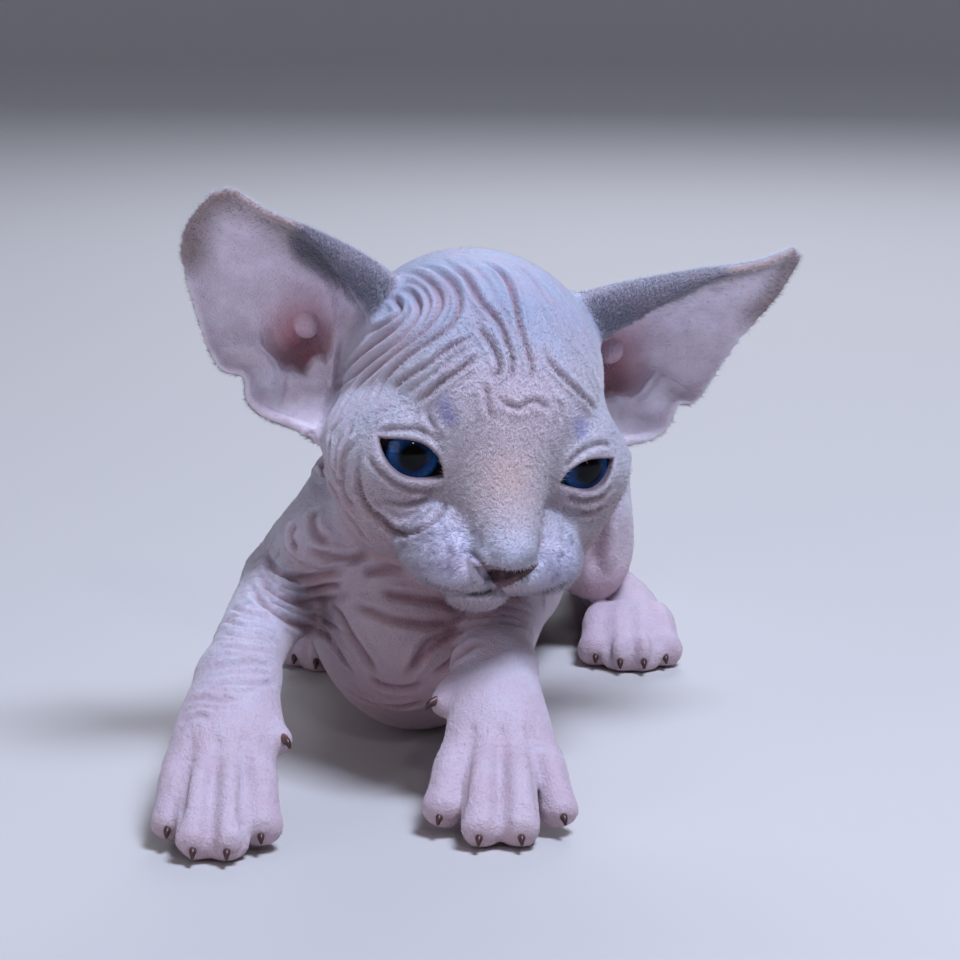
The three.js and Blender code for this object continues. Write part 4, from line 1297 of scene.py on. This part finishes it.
def make_down(name, surface, weight, count, sizes, lift, on_ear, seed, material):
    """One coat piece of spikes. Sizes are the shortest and the longest, and the width at the root."""
    points, quads, fans, normals, colours = surface
    random = np.random.default_rng(seed)
    places, corner = down_roots(points, quads, fans, weight, count, random)
    normal = normals[corner]
    lie = coat_lie(places, on_ear) + random.normal(0, 0.3, (count, 3))
    lie = unit(lie - normal * np.sum(lie * normal, axis=1, keepdims=True))
    rise = np.radians(np.clip(random.normal(lift, 10, count), 6, 80))[:, None]
    lie = unit(lie * np.cos(rise) + normal * np.sin(rise))
    length = random.uniform(sizes[0], sizes[1], count)[:, None]
    side = unit(np.cross(lie, normal))
    up = np.cross(lie, side)
    start = places - normal * 0.1
    turns = 2 * np.pi * np.arange(3) / 3
    spikes = [start + sizes[2] * (np.cos(t) * side + np.sin(t) * up) for t in turns]
    spikes.append(start + lie * length - (0, 0, 1) * length * 0.08)
    first = 4 * np.arange(count)[:, None]
    faces = np.vstack([first + np.array(f) for f in ((2, 1, 0), (0, 1, 3), (1, 2, 3), (2, 0, 3))])
    spikes = np.stack(spikes, 1).reshape(-1, 3)
    spikes[:, 2] = np.maximum(spikes[:, 2], 0.02)
    made = make_object(name, spikes, [faces])
    # The down takes the skin's colour at its root, with the painted light and shade in it, made paler
    tint = mix(colours[corner], DOWN_PALE, np.full(count, DOWN_PALENESS))
    add_colour(made, "tint", np.repeat(tint, 4, axis=0))
    patch = np.array([(math.cos(t), math.sin(t)) for t in turns] + [(0, 0)]) * DOWN_TILE / 2
    spots = (unwrapped(places, on_ear)[:, None] + patch[None]).reshape(-1, 2)
    loops = np.empty(len(made.data.loops), np.int32)
    made.data.loops.foreach_get("vertex_index", loops)
    layer = made.data.uv_layers.new(name="OFBake")
    layer.data.foreach_set("uv", spots[loops].astype(np.float32).ravel())
    made.data.materials.append(material)
    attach(made, "root")
    return made


def make_coat(points, quads, fans, normals, colours, ear_marks):
    """Down on the face, the rest of the head, each ear, the front of the body and the rest of it."""
    made = down_material()
    surface = (points, quads, fans, normals, colours)
    local = in_head(points)
    away = head_field(local)
    ear = (ears_distance(points) < 0.9) & (away > 0.6)
    head = (away < 1.2) & ~ear & (np.linalg.norm(local, axis=1) < HEAD_REACH)
    bare = (np.abs(nose_notch(local)) < 0.8) | (nose_notch(local) < 0)
    lids = np.abs(eye_opening(local)) < 0.7
    grown = head & ~bare & ~lids
    muzzle = swell(local[:, 1], 6, 20) * grown
    on_right = local[:, 0] > 0
    fore = (points[:, 1] < FRONT_REACH) & ~head & ~ear & (points[:, 2] > 0.6)
    rear = (points[:, 1] >= FRONT_REACH) & ~head & ~ear & (points[:, 2] > 0.6)
    furred = 0.12 + 2.8 * ear_marks[:, 3] + 0.6 * ear_marks[:, 2]
    for name, weight, count, sizes, lift, on_ear in (
            ("down_face", muzzle, 46000, (0.6, 1.4, 0.055), 26, False),
            ("down_head", grown * (1 - 0.7 * muzzle), 40000, (0.35, 0.8, 0.04), 20, False),
            ("down_ear_left", ear * ~on_right * furred, 38000, (0.6, 1.4, 0.045), 28, True),
            ("down_ear_right", ear * on_right * furred, 38000, (0.6, 1.4, 0.045), 28, True),
            ("down_front", fore * 1.0, 42000, (0.35, 0.8, 0.04), 20, None),
            ("down_back", rear * 1.0, 42000, (0.4, 0.9, 0.045), 20, None)):
        make_down(name, surface, weight, count, sizes, lift, on_ear, len(name), made)


# Materials
def new_material(name):
    """An empty material and its nodes."""
    made = bpy.data.materials.new(name)
    made.use_nodes = True
    made.node_tree.nodes.clear()
    return made, made.node_tree


def down_material():
    """Fine pale down: matt, in the colour of its tint."""
    made, tree = new_material("fine_down")
    tint = add_node(tree, "Attribute", attribute_name="tint").outputs["Color"]
    surface = add_node(tree, "BsdfPrincipled", {"Base Color": tint, "Roughness": 0.6, "IOR": 1.45})
    add_node(tree, "OutputMaterial", {"Surface": surface.outputs[0]})
    return made


def skin_material():
    """Bare living skin: matt and soft, light that goes in comes out pink, with pores and a fine net of lines.
    The mottling is about 6 mm across, the pores 0.7 mm apart and the net half a millimetre."""
    made, tree = new_material("bare_skin")
    place = add_node(tree, "TexCoord").outputs["Object"]
    tint = add_node(tree, "Attribute", attribute_name="tint").outputs["Color"]
    mottle = add_node(tree, "TexNoise", {"Vector": place, "Scale": 170.0, "Detail": 4.0, "Roughness": 0.6})
    mottle_share = add_node(tree, "MapRange", {"Value": mottle.outputs["Fac"], "From Min": 0.35,
                                               "From Max": 0.68, "To Min": 0.0, "To Max": 0.42})
    warm = add_node(tree, "MixRGB", {"Fac": mottle_share.outputs[0], "Color1": tint,
                                     "Color2": shade("#bb9fae")})
    pores = add_node(tree, "TexVoronoi", {"Vector": place, "Scale": 1500.0})
    pore_share = add_node(tree, "MapRange", {"Value": pores.outputs["Distance"], "From Min": 0.0,
                                             "From Max": 0.3, "To Min": 0.3, "To Max": 0.0})
    smooth = add_node(tree, "Attribute", attribute_name="sleek").outputs["Fac"]
    pores_here = add_node(tree, "Math", {0: pore_share.outputs[0], 1: smooth}, operation="SUBTRACT",
                          use_clamp=True)
    colour = add_node(tree, "MixRGB", {"Fac": pores_here.outputs[0], "Color1": warm.outputs[0],
                                       "Color2": shade("#7d6880")})
    net = add_node(tree, "TexVoronoi", {"Vector": place, "Scale": 2100.0}, feature="DISTANCE_TO_EDGE")
    net_height = add_node(tree, "MapRange", {"Value": net.outputs["Distance"], "From Max": 0.3})
    grain = add_node(tree, "TexNoise", {"Vector": place, "Scale": 2600.0, "Detail": 2.0, "Roughness": 0.6})
    soft = add_node(tree, "TexNoise", {"Vector": place, "Scale": 520.0, "Detail": 5.0, "Roughness": 0.6})
    net_bump = add_node(tree, "Bump", {"Strength": 0.25, "Distance": 0.00012,
                                       "Height": net_height.outputs[0]})
    grain_bump = add_node(tree, "Bump", {"Strength": 0.7, "Distance": 0.00025, "Height": grain.outputs["Fac"],
                                         "Normal": net_bump.outputs[0]})
    bump = add_node(tree, "Bump", {"Strength": 0.7, "Distance": 0.0006, "Height": soft.outputs["Fac"],
                                   "Normal": grain_bump.outputs[0]})
    surface = add_node(tree, "BsdfPrincipled", {
        "Base Color": colour.outputs[0], "Roughness": 0.55, "IOR": 1.4, "Subsurface Weight": 0.22,
        "Subsurface Radius": (1.0, 0.35, 0.25), "Subsurface Scale": 0.0016, "Sheen Weight": 0.25,
        "Sheen Roughness": 0.4, "Normal": bump.outputs[0]})
    add_node(tree, "OutputMaterial", {"Surface": surface.outputs[0]})
    return made


def floor_material():
    """Matt painted studio floor: even, with no shine that would draw the eye."""
    made, tree = new_material("matt_floor")
    surface = add_node(tree, "BsdfPrincipled", {"Base Color": shade("#c4c3c3"), "Roughness": 0.8})
    add_node(tree, "OutputMaterial", {"Surface": surface.outputs[0]})
    return made


def horn_material():
    """Claw horn: grown in layers, so faint lines run in it, pink by the quick and dark towards the point."""
    made, tree = new_material("claw_horn")
    along = add_node(tree, "Attribute", attribute_name="along").outputs["Fac"]
    place = add_node(tree, "TexCoord").outputs["Object"]
    lines = add_node(tree, "TexNoise", {"Vector": place, "Scale": 1800.0, "Detail": 3.0, "Roughness": 0.6})
    growth = add_node(tree, "Math", {0: lines.outputs["Fac"], 1: 0.5, 2: along}, operation="MULTIPLY_ADD")
    share = add_node(tree, "MapRange", {"Value": growth.outputs[0], "From Min": 0.2, "From Max": 1.1})
    colour = add_node(tree, "MixRGB", {"Fac": share.outputs[0], "Color1": shade("#96645f"),
                                       "Color2": shade("#3a2524")})
    surface = add_node(tree, "BsdfPrincipled", {
        "Base Color": colour.outputs[0], "Roughness": 0.38, "IOR": 1.54, "Subsurface Weight": 0.1,
        "Subsurface Scale": 0.0005})
    add_node(tree, "OutputMaterial", {"Surface": surface.outputs[0]})
    return made


# Colours of the eye at shares of 8 mm from the middle of its pupil: pupil, iris, its dark rim, and the white,
# painted dark grey as shade
EYE_RINGS_REACH = 8.0
EYE_RINGS = ((0.0, "#010102"), (0.215, "#010102"), (0.255, "#0a1a30"), (0.34, "#193d6e"), (0.45, "#2c5f9c"),
             (0.53, "#132c52"), (0.575, "#070c16"), (0.63, "#2a2530"), (1.0, "#6d626a"))


def eye_material():
    """Wet eye: dark blue iris with paler fibres round a black pupil, under a clear coat of tears."""
    made, tree = new_material("wet_eye")
    place = add_node(tree, "Attribute", attribute_name="gaze").outputs["Vector"]
    parts = add_node(tree, "SeparateXYZ", {0: place})
    x, y, reach = parts.outputs
    around = add_node(tree, "Math", {0: y, 1: x}, operation="ARCTAN2")
    spun = add_node(tree, "Math", {0: around.outputs[0], 1: 9.0}, operation="MULTIPLY")
    inward = add_node(tree, "Math", {0: reach, 1: 0.45}, operation="MULTIPLY")
    fibre_place = add_node(tree, "CombineXYZ", {0: spun.outputs[0], 1: inward.outputs[0]})
    fibre = add_node(tree, "TexNoise", {"Vector": fibre_place.outputs[0], "Scale": 1.6, "Detail": 6.0,
                                        "Roughness": 0.7})
    out = add_node(tree, "Math", {0: reach, 1: EYE_RINGS_REACH}, operation="DIVIDE")
    rings = add_node(tree, "ValToRGB", {"Fac": out.outputs[0]})
    ramp = rings.color_ramp
    while len(ramp.elements) < len(EYE_RINGS):
        ramp.elements.new(0.5)
    for element, (where, code) in zip(ramp.elements, EYE_RINGS):
        element.position = where
        element.color = shade(code)
    pale = add_node(tree, "MapRange", {"Value": fibre.outputs["Fac"], "From Min": 0.4, "From Max": 0.75,
                                       "To Min": 0.55, "To Max": 1.5})
    iris = add_node(tree, "MixRGB", {"Fac": 1.0, "Color1": rings.outputs[0], "Color2": pale.outputs[0]},
                    blend_type="MULTIPLY")
    surface = add_node(tree, "BsdfPrincipled", {
        "Base Color": iris.outputs[0], "Roughness": 0.4, "IOR": 1.05, "Coat Weight": 0.6,
        "Coat Roughness": 0.02, "Coat IOR": 1.34})
    add_node(tree, "OutputMaterial", {"Surface": surface.outputs[0]})
    return made


# Eyes
IRIS_REACH = 4.6
CORNEA_RISE = 0.6
PUPILS = {"left": (590.5, 471.0), "right": (413.0, 458.0)}


def make_eye(side, name, pupil, material):
    """Eyeball with the bulge of its cornea, its pupil turned to where the photographed view shows it."""
    centre = from_head(EYE_CENTRE * np.array([side, 1, 1]))
    line = sight_line(pupil)
    apart = centre - VIEWER
    nearest = apart @ line
    beside = apart @ apart - nearest ** 2
    reach = EYE_RADIUS + CORNEA_RISE
    gaze = unit(VIEWER + line * (nearest - math.sqrt(max(reach ** 2 - beside, 0))) - centre)
    across = unit(np.cross(VIEW_UP, gaze))
    frame_of_eye = np.array([across, np.cross(gaze, across), gaze])
    rows, columns = 60, 96
    angle = np.linspace(0, 2 * np.pi, columns, endpoint=False)
    bend = np.linspace(0, np.pi, rows)[1:-1]
    wide = EYE_RADIUS * np.sin(bend)
    bulge = CORNEA_RISE * np.clip(1 - (wide / (IRIS_REACH + 0.4)) ** 2, 0, 1) * (bend < np.pi / 2)
    out = EYE_RADIUS * np.cos(bend) + bulge
    rings = np.stack([np.outer(wide, np.cos(angle)), np.outer(wide, np.sin(angle)),
                      np.repeat(out[:, None], columns, axis=1)], -1)
    points, quads, triangles = ring_mesh(
        rings, np.array([0, 0, EYE_RADIUS + CORNEA_RISE]), np.array([0, 0, -EYE_RADIUS]))
    from_pupil = EYE_RADIUS * np.arctan2(np.linalg.norm(points[:, :2], axis=1), points[:, 2])
    eye = make_object(name, points @ frame_of_eye + centre, [quads[:, ::-1], triangles[:, ::-1]])
    layer = eye.data.attributes.new("gaze", "FLOAT_VECTOR", "POINT")
    layer.data.foreach_set("vector", np.column_stack([points[:, :2], from_pupil]).astype(np.float32).ravel())
    eye.data.materials.append(material)
    return eye


# Claws
def make_claw(name, knuckle, tip, height, material):
    """Hooked claw beyond the tip of a toe, curved down to its point."""
    forward = unit(np.array([tip[0] - knuckle[0], tip[1] - knuckle[1], 0.0]))

    def at(reach, drop, width, depth):
        return (*(np.array([tip[0], tip[1], height - drop]) + forward * reach), width, depth)
    bent = [at(1.2, -0.3, 0.7, 0.85), at(2.8, 0.1, 0.55, 0.65), at(3.5, 0.8, 0.25, 0.3)]
    points, quads, triangles = limb(bent, sides=16, steps=16, domes=4)
    made = make_object(name, points, [quads, triangles])
    reach = (points - points.mean(0)) @ forward
    add_number(made, "along", (reach - reach.min()) / np.ptp(reach))
    made.data.materials.append(material)
    return made


# The kitten
points, quads, fans, normals, cavity, ear_marks = make_skin()
skin = make_object("skin", points, [quads, fans])
# Skin colours, with painted light on top and painted shade below, in folds, throat, nostrils and ear canals
colours = skin_colours(points, normals, cavity, ear_marks)
add_colour(skin, "tint", colours)
add_number(skin, "sleek", ear_marks[:, 0])
skin.data.materials.append(skin_material())
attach(skin, "root")
flesh = [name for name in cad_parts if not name.startswith(("eye", "claw"))]
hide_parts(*flesh)

make_coat(points, quads, fans, normals_of(points, quads, fans), colours, ear_marks)

wet_eye = eye_material()
horn = horn_material()
for name, side in (("left", 1), ("right", -1)):
    eye = make_eye(-side, f"eyeball_{name}", PUPILS[name], wet_eye)
    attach(eye, "root")
    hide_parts(f"eye_{name}")
    arm = FORELIMBS[name]
    claws = [(f"claw_fore_{name}_{i + 1}", toe_knuckle(arm, i), tip, CLAW_HEIGHT + tip[2])
             for i, tip in enumerate(arm["toes"])]
    claws.append((f"claw_fore_{name}_5", arm["wrist"], arm["thumb"], arm["thumb"][2]))
    claws += [(f"claw_hind_{name}_{i + 1}", knuckle, tip, CLAW_HEIGHT)
              for i, (knuckle, tip) in enumerate(zip(hind_knuckles(side), hind_toes(side)))]
    for node, knuckle, tip, height in claws:
        claw = make_claw(node.replace("claw", "hook"), knuckle, tip, height, horn)
        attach(claw, "root")
        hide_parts(node)


# Floor, light and camera
SWEEP_FLAT = 1250.0
SWEEP_BEND = 700.0
SWEEP_TOP = 2600.0

# Lights turned to the head: place and size in metres, power in watts, and colour
LIGHTS = {
    "key": ((0.28, -0.36, 0.92), 0.28, 12.0, "#dde6ff"),
    "fill": ((-0.7, -0.6, 0.3), 0.5, 1.25, "#f6eefa"),
    "rim": ((0.1, 0.7, 0.5), 0.4, 2.6, "#eef2ff"),
    "catch": ((0.13, -0.74, 0.52), 0.05, 0.45, "#ffffff")}
ROOM_COLOUR = "#efe9ea"
ROOM_STRENGTH = 0.12


def add_sweep():
    """Pale studio floor that curves up into a round wall, all round."""
    flat, bend, top = SWEEP_FLAT, SWEEP_BEND, SWEEP_TOP
    angles = np.linspace(0, np.pi / 2, 12)
    profile = [(1.0, 0.0)] + [(flat + bend * math.sin(a), bend * (1 - math.cos(a))) for a in angles]
    profile.append((flat + bend, top))
    around = np.linspace(0, 2 * np.pi, 96, endpoint=False)
    rings = np.array([[(r * math.cos(a), r * math.sin(a), z) for a in around] for r, z in profile])
    points, quads, triangles = ring_mesh(rings, np.zeros(3), np.array([0, 0, top]))
    triangles = triangles[:len(around)]
    points[:, :2] += REST_POINT[:2]
    sweep = make_object("sweep", points, [quads, triangles])
    sweep.data.materials.append(floor_material())


def add_light(name, place, size, power, colour):
    data = bpy.data.lights.new(name, "AREA")
    data.size = size
    data.energy = power
    data.color = linear(colour)
    made = bpy.data.objects.new(name, data)
    made.location = place
    target = Vector((HEAD_CENTRE - REST_POINT) * MM)
    made.rotation_euler = (target - Vector(place)).to_track_quat("-Z", "Y").to_euler()
    bpy.context.collection.objects.link(made)


def add_camera():
    data = bpy.data.cameras.new("camera")
    data.sensor_width = SENSOR_MM
    data.lens = FOCAL_PIXELS / PICTURE_SIZE * SENSOR_MM
    data.clip_start = 0.01
    made = bpy.data.objects.new("camera", data)
    made.location = (VIEWER - REST_POINT) * MM
    made.rotation_euler = (math.radians(90 - VIEWER_RISE), 0, 0)
    bpy.context.collection.objects.link(made)
    bpy.context.scene.camera = made


add_sweep()
for name, light in LIGHTS.items():
    add_light(name, *light)
add_camera()
world = bpy.data.worlds.new("studio")
world.use_nodes = True
room = world.node_tree.nodes["Background"]
room.inputs["Color"].default_value = shade(ROOM_COLOUR)
room.inputs["Strength"].default_value = ROOM_STRENGTH
bpy.context.scene.world = world
bpy.context.scene.view_settings.view_transform = "Standard"
